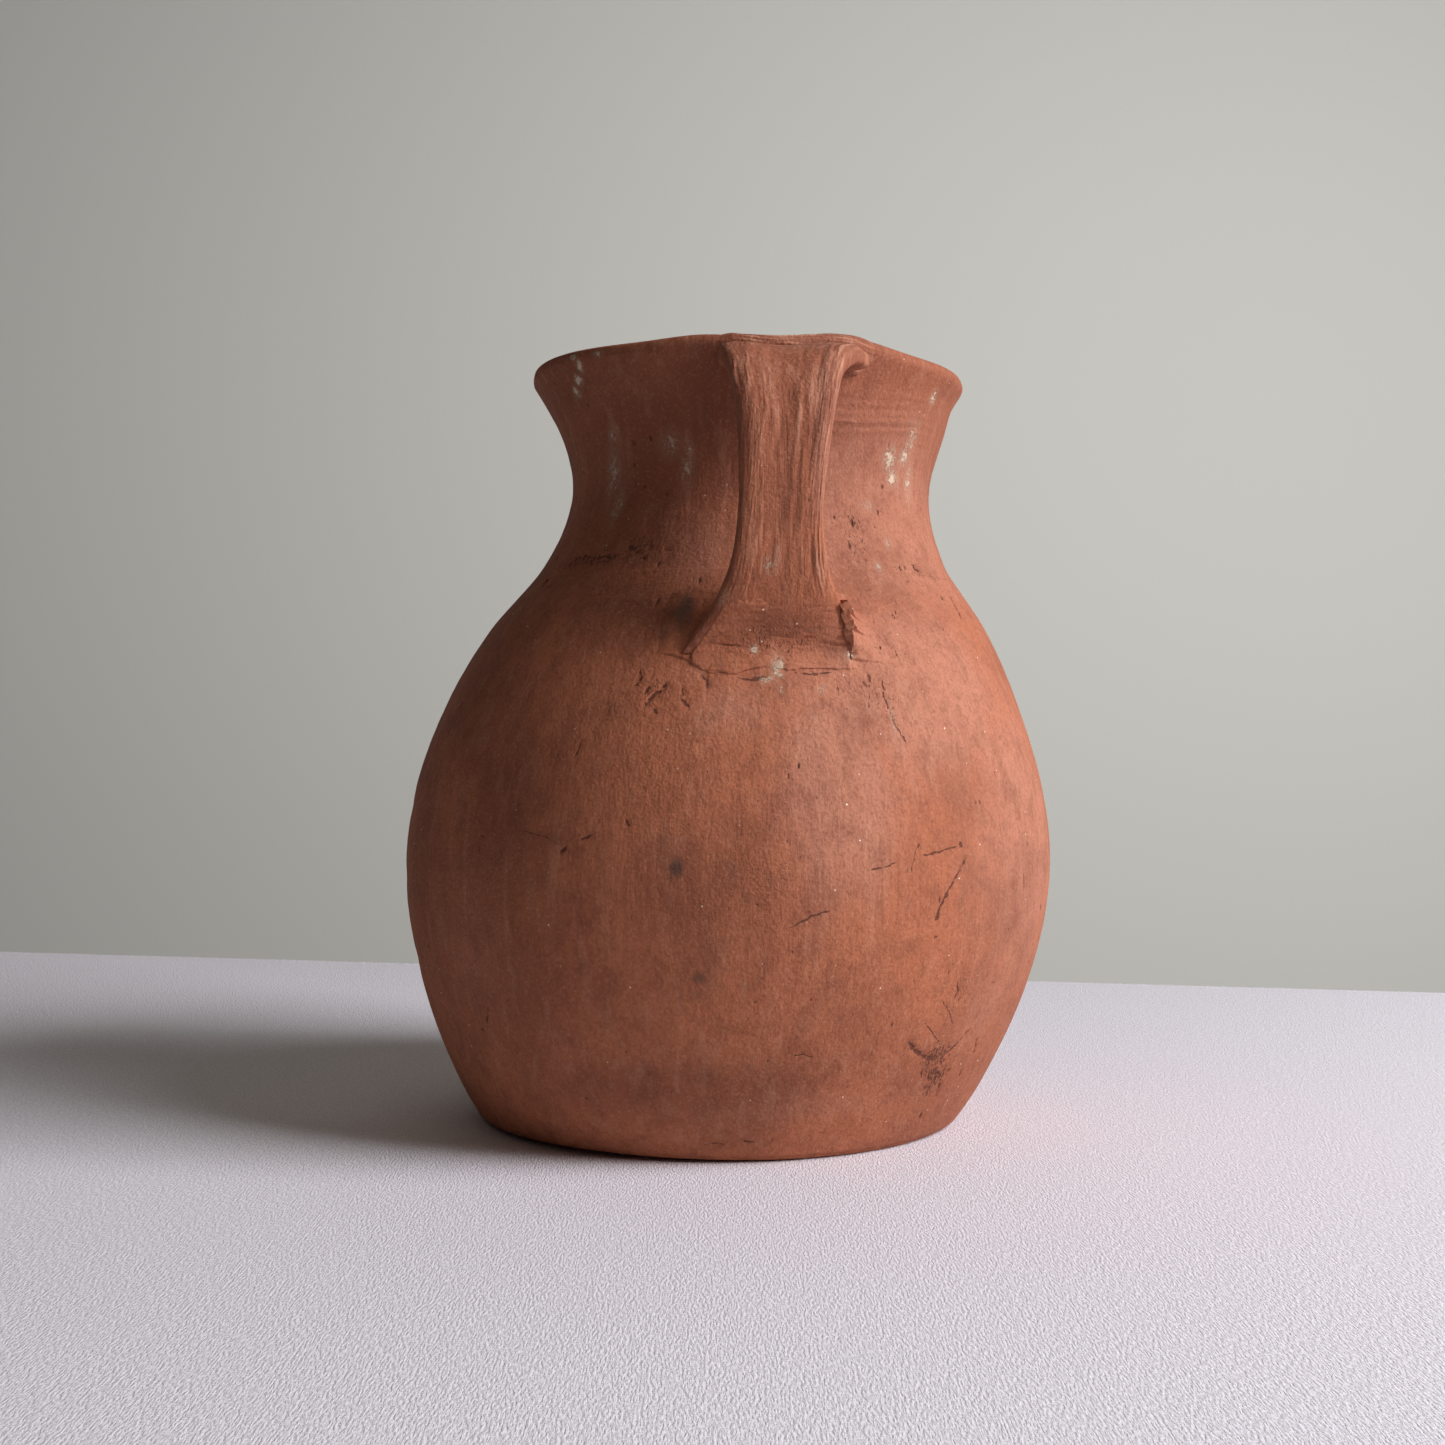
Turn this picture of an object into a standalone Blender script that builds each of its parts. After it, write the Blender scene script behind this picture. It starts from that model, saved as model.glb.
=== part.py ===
"""A hand-built terracotta pitcher with a strap handle.

The wall stands on a flat base slab and is raised in courses of clay, each lapped over the one
below. A collar makes the neck, and a rim band, pulled out into a spout, closes it. The strap
handle is luted under the rim and on the shoulder with clay of its own. Metres, +Z up. The origin
is the middle of the underside, and the handle faces -Y. Azimuths are degrees from -Y towards +X.
"""

import math

import bmesh
import bpy
from mathutils import Vector

# Fineness of the mesh, and the clearance between pieces that touch.
SEGMENTS = 40
COURSE_STEP = 0.0105
GAP = 0.0003
WELD = 0.00001
SHARP_ANGLE = 45.0

# The vessel's outline: height, outer radius, and how far the ring's middle leans towards +X.
OUTLINE = (
    (0.000, 0.0780, 0.0000),
    (0.028, 0.0942, 0.0020),
    (0.056, 0.1036, 0.0033),
    (0.083, 0.1070, 0.0037),
    (0.110, 0.1038, 0.0041),
    (0.138, 0.0942, 0.0051),
    (0.160, 0.0828, 0.0068),
    (0.182, 0.0672, 0.0093),
    (0.204, 0.0601, 0.0112),
    (0.224, 0.0637, 0.0121),
    (0.245, 0.0738, 0.0114),
)
RADIUS, LEAN = 1, 2

# Wall and joints. A joint rises inwards, because each course is pressed down over the last.
WALL = 0.0070
SCARF = 0.0045
SLAB_JOINT = 0.0028
SLAB_EDGE = 0.0016
# Share of the slab's edge radius that its cut corner stands in by.
EDGE_SHARE = 0.3
COURSES = (
    ("lower_wall", SLAB_JOINT, 0.0517),
    ("belly_course_low", 0.0517, 0.0793),
    ("belly_course_high", 0.0793, 0.1028),
    ("shoulder", 0.1028, 0.1760),
    ("neck_collar", 0.1760, 0.2215),
)
RIM_JOINT = 0.2215

# Lip and spout.
LIP_RADIUS = 0.0030
LIP_HEIGHT = 0.2390
LIP_STEPS = 6
SPOUT_AZIMUTH = 180.0
SPOUT_PULL = 0.0110
SPOUT_RISE = 0.0030
SPOUT_SPREAD = 17.0
PINCH = 0.0028
PINCH_AT = 38.0
SPOUT_ROOT = 0.2130

# Strap handle: distance out from the neck's axis, height, width and sideways shift of its middle.
HANDLE_AZIMUTH = 5.0
HANDLE_RISE = 0.0018
HANDLE_RISE_SPREAD = 24.0
NECK_AXIS = 0.0115
STRAP_THICKNESS = 0.0090
STRAP_STATIONS = (
    (0.0660, 0.2392, 0.0420, 0.0015),
    (0.0780, 0.2387, 0.0400, 0.0015),
    (0.0878, 0.2322, 0.0360, 0.0012),
    (0.0930, 0.2205, 0.0306, 0.0010),
    (0.0945, 0.2050, 0.0262, 0.0004),
    (0.0938, 0.1890, 0.0242, 0.0000),
    (0.0920, 0.1745, 0.0276, -0.0004),
    (0.0885, 0.1620, 0.0370, -0.0010),
    (0.0820, 0.1520, 0.0450, -0.0030),
)
STRAP_STEPS = 3
# One section of the strap, as shares of its width and thickness: the outer face is channelled.
STRAP_SECTION = (
    (-0.50, -0.05),
    (-0.46, 0.34),
    (-0.34, 0.50),
    (0.00, 0.36),
    (0.34, 0.50),
    (0.46, 0.34),
    (0.50, -0.05),
    (0.42, -0.42),
    (0.20, -0.50),
    (-0.20, -0.50),
    (-0.42, -0.42),
)

# The vessel's cutter starts this high and ends this far over the lip.
CUTTER_FOOT = 0.001
CUTTER_OVER = 110.0

# Clay added at the handle's joints: azimuth range, height range, thickness at edge and middle.
PAD = {"azimuths": (-15.5, 22.5), "heights": (0.1425, 0.1615), "thin": 0.0008, "thick": 0.0030}
PATCH = {"azimuths": (23.2, 36.8), "heights": (0.1455, 0.1650), "thin": 0.0013, "thick": 0.0019}
CLAY_GRID = (12, 6)
SADDLE_AZIMUTHS = (-10.0, 27.0)
SADDLE_THIN = 0.0006
SADDLE_THICK = 0.0022
SADDLE_OVER = (-8.0, 188.0)
SADDLE_GRID = (14, 10)
# A low power keeps the added clay thick over most of its width and steep at its edges.
SWELL = 0.6


# Fired colours, and a roughness for the wall and for the drawn strap.
SLAB_COLOUR = (0.36, 0.13, 0.08)
WALL_COLOUR = (0.42, 0.15, 0.09)
RIM_COLOUR = (0.44, 0.16, 0.10)
STRAP_COLOUR = (0.46, 0.18, 0.11)
PAD_COLOUR = (0.45, 0.17, 0.11)
PATCH_COLOUR = (0.50, 0.20, 0.13)
SADDLE_COLOUR = (0.46, 0.18, 0.12)
ROUGHNESS = 0.85
STRAP_ROUGHNESS = 0.80


def along(column, height):
    """The outline's column at a height, on a smooth curve through its stations."""
    last = len(OUTLINE) - 1
    below = 0
    while below < last - 1 and OUTLINE[below + 1][0] <= height:
        below += 1

    def slope(index):
        low = OUTLINE[max(index - 1, 0)]
        high = OUTLINE[min(index + 1, last)]
        return (high[column] - low[column]) / (high[0] - low[0])

    start, end = OUTLINE[below], OUTLINE[below + 1]
    span = end[0] - start[0]
    t = (height - start[0]) / span
    return (
        (2 * t**3 - 3 * t**2 + 1) * start[column]
        + (t**3 - 2 * t**2 + t) * span * slope(below)
        + (3 * t**2 - 2 * t**3) * end[column]
        + (t**3 - t**2) * span * slope(below + 1)
    )


def wall_point(height, depth):
    """Radius and height of the point this deep in the wall, square to the outer face."""
    step = 0.0005
    rise = (along(RADIUS, height + step) - along(RADIUS, height - step)) / (2 * step)
    inward = depth / math.hypot(1.0, rise)
    return along(RADIUS, height) - inward, height + inward * rise


def from_azimuth(azimuth):
    """The level direction that points this many degrees from -Y towards +X."""
    angle = math.radians(azimuth)
    return Vector((math.sin(angle), -math.cos(angle), 0.0))


def turn_between(direction, azimuth):
    """Degrees between a level direction and an azimuth."""
    return math.degrees(from_azimuth(azimuth).angle(direction))


def bell(turn, spread):
    return math.exp(-((turn / spread) ** 2))


def settle(point):
    """Leans a point of the turned shape, pulls the spout and lifts the rim at the handle."""
    radial = Vector((point.x, point.y, 0.0))
    moved = point.copy()
    climb = (point.z - SPOUT_ROOT) / (LIP_HEIGHT - SPOUT_ROOT)
    if climb > 0.0 and radial.length > 0.0:
        climb = min(climb, 1.0) ** 2
        outward = radial.normalized()
        turn = turn_between(outward, SPOUT_AZIMUTH)
        pull = SPOUT_PULL * bell(turn, SPOUT_SPREAD) - PINCH * bell(turn - PINCH_AT, SPOUT_SPREAD)
        lift = SPOUT_RISE * bell(turn, SPOUT_SPREAD)
        lift += HANDLE_RISE * bell(turn_between(outward, HANDLE_AZIMUTH), HANDLE_RISE_SPREAD)
        moved += climb * (pull * outward + Vector((0.0, 0.0, lift)))
    moved.x += along(LEAN, point.z)
    return moved


def clay(name, colour, roughness=ROUGHNESS):
    """A fired clay finish with the colour of its own batch."""
    material = bpy.data.materials.new(name + "_clay")
    material.use_nodes = True
    shader = material.node_tree.nodes["Principled BSDF"]
    shader.inputs["Base Color"].default_value = (*colour, 1.0)
    shader.inputs["Roughness"].default_value = roughness
    shader.inputs["Metallic"].default_value = 0.0
    material.diffuse_color = (*colour, 1.0)
    return material


def make_object(name, bm, material=None):
    """Puts a bmesh in the scene, with its faces outwards and shaded smooth."""
    bmesh.ops.recalc_face_normals(bm, faces=bm.faces)
    mesh = bpy.data.meshes.new(name)
    bm.to_mesh(mesh)
    bm.free()
    mesh.shade_smooth()
    mesh.set_sharp_from_angle(angle=math.radians(SHARP_ANGLE))
    made = bpy.data.objects.new(name, mesh)
    bpy.context.scene.collection.objects.link(made)
    if material:
        mesh.materials.append(material)
    return made


def spun(section, closed):
    """Spins a section of (radius, height) points about Z."""
    bm = bmesh.new()
    verts = [bm.verts.new((0.0, -radius, height)) for radius, height in section]
    after = verts[1:] + verts[:1] if closed else verts[1:]
    edges = [bm.edges.new((a, b)) for a, b in zip(verts, after)]
    bmesh.ops.spin(
        bm,
        geom=verts + edges,
        cent=(0.0, 0.0, 0.0),
        axis=(0.0, 0.0, 1.0),
        angle=math.tau,
        steps=SEGMENTS,
    )
    bmesh.ops.remove_doubles(bm, verts=bm.verts, dist=WELD)
    return bm


def turned(name, section, material=None):
    """A ring turned from a closed section, and settled."""
    bm = spun(section, closed=True)
    for vertex in bm.verts:
        vertex.co = settle(vertex.co)
    # Both faces of a joint are split the same way, so they stay clear of each other.
    bmesh.ops.triangulate(bm, faces=bm.faces, quad_method="SHORT_EDGE")
    return make_object(name, bm, material)


def heights_between(low, high):
    steps = max(2, round((high - low) / COURSE_STEP))
    return [low + (high - low) * i / steps for i in range(steps + 1)]


def base_slab():
    inner_radius, inner_height = wall_point(SLAB_JOINT + SCARF, WALL)
    section = [
        (0.0, 0.0),
        (along(RADIUS, 0.0) - SLAB_EDGE, 0.0),
        (along(RADIUS, 0.0) - EDGE_SHARE * SLAB_EDGE, EDGE_SHARE * SLAB_EDGE),
        (along(RADIUS, SLAB_EDGE), SLAB_EDGE),
        (along(RADIUS, SLAB_JOINT), SLAB_JOINT),
        (inner_radius, inner_height),
        (0.0, inner_height),
    ]
    bm = spun(section, closed=False)
    for vertex in bm.verts:
        if vertex.co.z > SLAB_EDGE:
            vertex.co = settle(vertex.co)
    return make_object("base_slab", bm, clay("base_slab", SLAB_COLOUR))


def course(name, low, high):
    """One course of the wall, from the joint under it to the joint over it."""
    outer = [wall_point(height, 0.0) for height in heights_between(low + GAP, high)]
    inner = [wall_point(height, WALL) for height in heights_between(low + SCARF + GAP, high + SCARF)]
    return turned(name, outer + inner[::-1], clay(name, WALL_COLOUR))


def around_lip(reach, over):
    """Section point this far from the middle of the lip, by degrees from the wall's outer face."""
    middle, level = wall_point(LIP_HEIGHT, LIP_RADIUS)
    edge, foot = wall_point(LIP_HEIGHT, 0.0)
    angle = math.atan2(foot - level, edge - middle) + math.radians(over)
    return middle + reach * math.cos(angle), level + reach * math.sin(angle)


def lip_arc(reach, end):
    """Section points round the lip, from the wall's outer face."""
    return [around_lip(reach, end * (i + 1) / LIP_STEPS) for i in range(LIP_STEPS)]


def rim_band():
    outer = [wall_point(height, 0.0) for height in heights_between(RIM_JOINT + GAP, LIP_HEIGHT)]
    inner = [wall_point(RIM_JOINT + SCARF + GAP, WALL)]
    section = outer + lip_arc(LIP_RADIUS, 180.0) + inner
    return turned("rim_band", section, clay("rim_band", RIM_COLOUR))


def vessel_cutter():
    """The whole vessel filled solid and a clearance larger, to trim what is luted on it."""
    outer = [wall_point(height, -GAP) for height in heights_between(CUTTER_FOOT, LIP_HEIGHT)]
    arc = lip_arc(LIP_RADIUS + GAP, CUTTER_OVER)
    section = [(0.0, outer[0][1])] + outer + arc + [(0.0, arc[-1][1])]
    return as_cutter(turned("vessel_cutter", section))


def as_cutter(made):
    made.hide_render = True
    made.display_type = "WIRE"
    return made


def trim(made, cutter):
    modifier = made.modifiers.new("clear_of_" + cutter.name, "BOOLEAN")
    modifier.object = cutter
    modifier.operation = "DIFFERENCE"
    modifier.solver = "EXACT"


def laid_clay(name, grid, place, material=None):
    """A closed layer of clay from a grid: place(u, v, top) gives its under and upper faces."""
    bm = bmesh.new()
    across, upward = grid
    sides = []
    for top in (False, True):
        rows = [
            [bm.verts.new(place(i / across, j / upward, top)) for i in range(across + 1)]
            for j in range(upward + 1)
        ]
        for low, high in zip(rows, rows[1:]):
            for i in range(across):
                bm.faces.new((low[i], low[i + 1], high[i + 1], high[i]))
        left = [row[0] for row in rows]
        right = [row[-1] for row in rows]
        sides.append(left + rows[-1][1:] + right[-2::-1] + rows[0][-2:0:-1])
    under, upper = sides
    for i, vertex in enumerate(under):
        after = (i + 1) % len(under)
        bm.faces.new((vertex, under[after], upper[after], upper[i]))
    return make_object(name, bm, material)


def crown(u, v):
    """One in the middle of a patch and nought along its edges."""
    return (math.sin(math.pi * u) * math.sin(math.pi * v)) ** SWELL


def wall_clay(name, spec, material=None, grow=0.0):
    """A patch of clay on the shoulder, or its cutter when it is grown by a clearance."""
    low_azimuth, high_azimuth = spec["azimuths"]
    low, high = spec["heights"]
    spare = math.degrees(grow / along(RADIUS, low))

    def place(u, v, top):
        azimuth = low_azimuth - spare + (high_azimuth - low_azimuth + 2 * spare) * u
        height = low - grow + (high - low + 2 * grow) * v
        thickness = spec["thin"] + (spec["thick"] - spec["thin"]) * crown(u, v)
        depth = -(GAP + thickness + grow) if top else (WALL / 2 if grow else -GAP)
        radius, level = wall_point(height, depth)
        point = from_azimuth(azimuth) * radius
        return point + Vector((along(LEAN, height), 0.0, level))

    return laid_clay(name, CLAY_GRID, place, material)


def saddle_clay(name, material=None, grow=0.0):
    """The clay lapped over the rim at the handle, or its cutter when it is grown."""
    low_azimuth, high_azimuth = SADDLE_AZIMUTHS
    start, end = SADDLE_OVER
    spare = math.degrees(grow / along(RADIUS, LIP_HEIGHT))
    spare_over = math.degrees(grow / LIP_RADIUS)

    def place(u, v, top):
        azimuth = low_azimuth - spare + (high_azimuth - low_azimuth + 2 * spare) * u
        over = start - spare_over + (end - start + 2 * spare_over) * v
        thickness = SADDLE_THIN + (SADDLE_THICK - SADDLE_THIN) * math.sin(math.pi * u) ** SWELL
        under = LIP_RADIUS - GAP if grow else LIP_RADIUS + GAP
        reach = LIP_RADIUS + GAP + thickness + grow if top else under
        radius, height = around_lip(reach, over)
        return settle(from_azimuth(azimuth) * radius + Vector((0.0, 0.0, height)))

    return laid_clay(name, SADDLE_GRID, place, material)


def strap_spine():
    """Points along the strap, on a smooth curve through its stations."""
    last = len(STRAP_STATIONS) - 1
    spine = []
    for i in range(last):
        a, b, c, d = (
            Vector(STRAP_STATIONS[min(max(k, 0), last)]) for k in (i - 1, i, i + 1, i + 2)
        )
        for step in range(STRAP_STEPS):
            t = step / STRAP_STEPS
            bend = (2 * a - 5 * b + 4 * c - d) * t**2 + (3 * b - a - 3 * c + d) * t**3
            spine.append(0.5 * (2 * b + (c - a) * t + bend))
    spine.append(Vector(STRAP_STATIONS[last]))
    return spine


def handle_strap(cutters):
    out = from_azimuth(HANDLE_AZIMUTH)
    across = Vector((-out.y, out.x, 0.0))
    axis = Vector((NECK_AXIS, 0.0, 0.0))
    spine = strap_spine()
    bm = bmesh.new()
    rings = []
    for i, (distance, height, width, shift) in enumerate(spine):
        before, after = spine[max(i - 1, 0)], spine[min(i + 1, len(spine) - 1)]
        run = Vector((after[0] - before[0], after[1] - before[1])).normalized()
        outward = out * -run.y + Vector((0.0, 0.0, run.x))
        middle = axis + out * distance + across * shift + Vector((0.0, 0.0, height))
        rings.append(
            [
                bm.verts.new(middle + across * (u * width) + outward * (v * STRAP_THICKNESS))
                for u, v in STRAP_SECTION
            ]
        )
    for first, second in zip(rings, rings[1:]):
        for i in range(len(first)):
            after = (i + 1) % len(first)
            bm.faces.new((first[i], first[after], second[after], second[i]))
    bm.faces.new(rings[0])
    bm.faces.new(rings[-1])
    strap = make_object("handle_strap", bm, clay("handle_strap", STRAP_COLOUR, STRAP_ROUGHNESS))
    for cutter in cutters:
        trim(strap, cutter)
    return strap


def main():
    for old in list(bpy.data.objects):
        bpy.data.objects.remove(old)
    base_slab()
    for name, low, high in COURSES:
        course(name, low, high)
    rim_band()
    wall_clay("handle_root_pad", PAD, clay("handle_root_pad", PAD_COLOUR))
    wall_clay("handle_root_patch", PATCH, clay("handle_root_patch", PATCH_COLOUR))
    saddle_clay("rim_saddle", clay("rim_saddle", SADDLE_COLOUR))
    pad_cutter = as_cutter(wall_clay("pad_cutter", PAD, grow=GAP))
    patch_cutter = as_cutter(wall_clay("patch_cutter", PATCH, grow=GAP))
    saddle_cutter = as_cutter(saddle_clay("saddle_cutter", grow=GAP))
    handle_strap((vessel_cutter(), pad_cutter, patch_cutter, saddle_cutter))


main()
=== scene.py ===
# %% [markdown]
# # A hand-built terracotta pitcher
# A water jug made without a wheel: a flat slab of clay for the base, a wall raised in courses, a
# collar for the neck, a flared rim pulled into a spout, and one broad strap handle. It was scraped
# and rubbed while leather-hard, and fired with no glaze. This lesson gives each of those pieces
# its real surface, around the plain solids of the drawing.

# %% The frame
import math

import bpy
import numpy as np
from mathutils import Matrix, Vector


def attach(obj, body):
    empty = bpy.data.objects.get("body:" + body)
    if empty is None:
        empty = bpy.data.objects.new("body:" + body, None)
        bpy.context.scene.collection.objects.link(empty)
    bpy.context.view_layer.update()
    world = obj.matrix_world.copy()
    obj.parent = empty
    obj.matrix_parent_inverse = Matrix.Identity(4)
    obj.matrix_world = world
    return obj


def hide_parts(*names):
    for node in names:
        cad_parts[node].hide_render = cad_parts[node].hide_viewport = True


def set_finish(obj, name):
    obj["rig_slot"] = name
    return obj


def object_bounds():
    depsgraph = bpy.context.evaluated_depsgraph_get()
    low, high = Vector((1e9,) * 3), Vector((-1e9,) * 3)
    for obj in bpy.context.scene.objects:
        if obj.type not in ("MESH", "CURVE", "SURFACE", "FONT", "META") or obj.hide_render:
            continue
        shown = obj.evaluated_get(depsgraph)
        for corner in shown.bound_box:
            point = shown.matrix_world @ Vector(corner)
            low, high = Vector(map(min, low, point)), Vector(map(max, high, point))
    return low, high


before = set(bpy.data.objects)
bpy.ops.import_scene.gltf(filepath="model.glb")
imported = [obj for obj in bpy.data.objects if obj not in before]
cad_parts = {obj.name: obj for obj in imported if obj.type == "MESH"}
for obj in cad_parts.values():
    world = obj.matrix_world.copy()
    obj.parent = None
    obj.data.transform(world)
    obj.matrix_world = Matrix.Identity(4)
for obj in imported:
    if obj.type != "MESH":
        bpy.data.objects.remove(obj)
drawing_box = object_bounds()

print("nodes:", ", ".join(sorted(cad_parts)))

# %% [markdown]
# ## The outline of the vessel
# A hand-built wall is round, but not about one straight axis. The drawing gives a few stations:
# a height, the radius there, and how far the middle of that ring leans towards +X. A smooth curve
# through them gives every height between. The same functions serve all the courses, so their
# faces meet.

# %% Stations and the curve through them
OUTLINE = np.array((
    (0.000, 0.0780, 0.0000),
    (0.028, 0.0942, 0.0020),
    (0.056, 0.1036, 0.0033),
    (0.083, 0.1070, 0.0037),
    (0.110, 0.1038, 0.0041),
    (0.138, 0.0942, 0.0051),
    (0.160, 0.0828, 0.0068),
    (0.182, 0.0672, 0.0093),
    (0.204, 0.0601, 0.0112),
    (0.224, 0.0637, 0.0121),
    (0.245, 0.0738, 0.0114),
))
RADIUS, LEAN = 1, 2
LAST = len(OUTLINE) - 1
OUTLINE_TOP = OUTLINE[LAST, 0]
STATION_SLOPES = np.array([
    (OUTLINE[min(i + 1, LAST)] - OUTLINE[max(i - 1, 0)])
    / (OUTLINE[min(i + 1, LAST), 0] - OUTLINE[max(i - 1, 0), 0])
    for i in range(LAST + 1)
])


def along(column, height):
    """The outline's column at these heights."""
    heights = OUTLINE[:, 0]
    i = np.clip(np.searchsorted(heights, height, side="right") - 1, 0, LAST - 1)
    span = heights[i + 1] - heights[i]
    t = (height - heights[i]) / span
    return (
        (2 * t**3 - 3 * t**2 + 1) * OUTLINE[i, column]
        + (t**3 - 2 * t**2 + t) * span * STATION_SLOPES[i, column]
        + (3 * t**2 - 2 * t**3) * OUTLINE[i + 1, column]
        + (t**3 - t**2) * span * STATION_SLOPES[i + 1, column]
    )


def wall_point(height, depth):
    """Radius and height of the point this deep in the wall, square to its outer face."""
    step = 0.0005
    rise = (along(RADIUS, height + step) - along(RADIUS, height - step)) / (2 * step)
    inward = depth / np.hypot(1.0, rise)
    return along(RADIUS, height) - inward, height + inward * rise


for place, level in (("belly", 0.083), ("neck", 0.206)):
    print(place, "radius", round(float(along(RADIUS, level)), 4))

# %% Lip, spout and lean
LIP_RADIUS = 0.0030
LIP_HEIGHT = 0.2390
SPOUT_ROOT = 0.2130
SPOUT_PULL, SPOUT_RISE, SPOUT_SPREAD = 0.0108, 0.0029, 17.0
PINCH, PINCH_AT = 0.0028, 38.0
HANDLE_AZIMUTH = 5.0
# Where the lip stands higher: azimuth, spread and height.
LIP_RISES = ((-70.0, 60.0, 0.0030), (-12.0, 13.0, 0.0017), (24.0, 15.0, 0.0028))
# The rim is a little oval to the left: amount, azimuth and spread.
OVAL, OVAL_AT, OVAL_SPREAD = 0.0022, -80.0, 42.0
LIP_HOLLOW, LIP_HOLLOW_HEIGHT = 0.0012, 0.2340
FOOT_FLARE, FOOT_FLARE_RIGHT = 0.0012, 0.0014
FOOT_LIFT = 0.0016


def bell(value, spread):
    return np.exp(-((value / spread) ** 2))


def smooth(value, low, high):
    """Nought below low, one above high, and an S-curve between."""
    t = np.clip((value - low) / (high - low), 0.0, 1.0)
    return t * t * (3 - 2 * t)


def as_points(x, y, z):
    """Three columns, or numbers, as points."""
    return np.stack(np.broadcast_arrays(x, y, z), axis=-1)


def away(azimuth, other):
    """Degrees between two azimuths, which run from -Y towards +X."""
    return np.abs((azimuth - other + 180.0) % 360.0 - 180.0)


def settle(azimuth, radius, height):
    """Turned coordinates to the jug's own: leaned, spout pulled, rim uneven, foot worn."""
    climb = np.clip((height - SPOUT_ROOT) / (LIP_HEIGHT - SPOUT_ROOT), 0.0, 1.0) ** 2
    turn = away(azimuth, 180.0)
    pull = SPOUT_PULL * bell(turn, SPOUT_SPREAD) - PINCH * bell(turn - PINCH_AT, SPOUT_SPREAD)
    pull = pull + OVAL * bell(away(azimuth, OVAL_AT), OVAL_SPREAD)
    lift = SPOUT_RISE * bell(turn, SPOUT_SPREAD)
    for place, spread, rise in LIP_RISES:
        lift = lift + rise * bell(away(azimuth, place), spread)
    hollow = LIP_HOLLOW * bell(height - LIP_HOLLOW_HEIGHT, 0.006) * bell(away(azimuth, 85.0), 45.0)
    foot = FOOT_FLARE + FOOT_FLARE_RIGHT * bell(away(azimuth, 57.0), 35.0)
    foot = foot * bell(height - 0.006, 0.014) * smooth(radius, 0.060, 0.076)
    worn = FOOT_LIFT * bell(away(azimuth, -32.0), 42.0)
    worn = worn * smooth(radius, 0.064, 0.079) * (1 - smooth(height, 0.002, 0.014))
    angle = np.radians(azimuth)
    reach = radius + climb * pull - hollow + foot
    x = reach * np.sin(angle) + along(LEAN, np.clip(height, 0.0, OUTLINE_TOP))
    return as_points(x, -reach * np.cos(angle), height + climb * lift + worn)


# %% [markdown]
# ## Roughness that repeats each run
# Clay worked by hand is never even. Random lumps must be the same each time the script runs, so
# they come from a small noise made of whole-number hashes, and from seeded random numbers.

# %% Noise


def lumps(points, size, seed=0):
    """Smooth noise from -1 to 1, with lumps about this size. Size may differ along each axis."""
    cells = points / np.asarray(size) + 31.7 * seed + 500.0
    low = np.floor(cells).astype(np.int64)
    part = cells - low
    fade = part * part * (3 - 2 * part)
    total = np.zeros(len(points))
    for corner in np.ndindex(2, 2, 2):
        place = low + np.array(corner)
        mixed = (place[:, 0] * 73856093) ^ (place[:, 1] * 19349663) ^ (place[:, 2] * 83492791)
        mixed = ((mixed ^ (mixed >> 13)) * 1274126177) & 0xFFFFFFFF
        value = ((mixed >> 8) & 0xFFFF) / 32767.5 - 1.0
        share = np.where(np.array(corner) == 1, fade, 1 - fade).prod(axis=1)
        total += value * share
    return total
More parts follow.
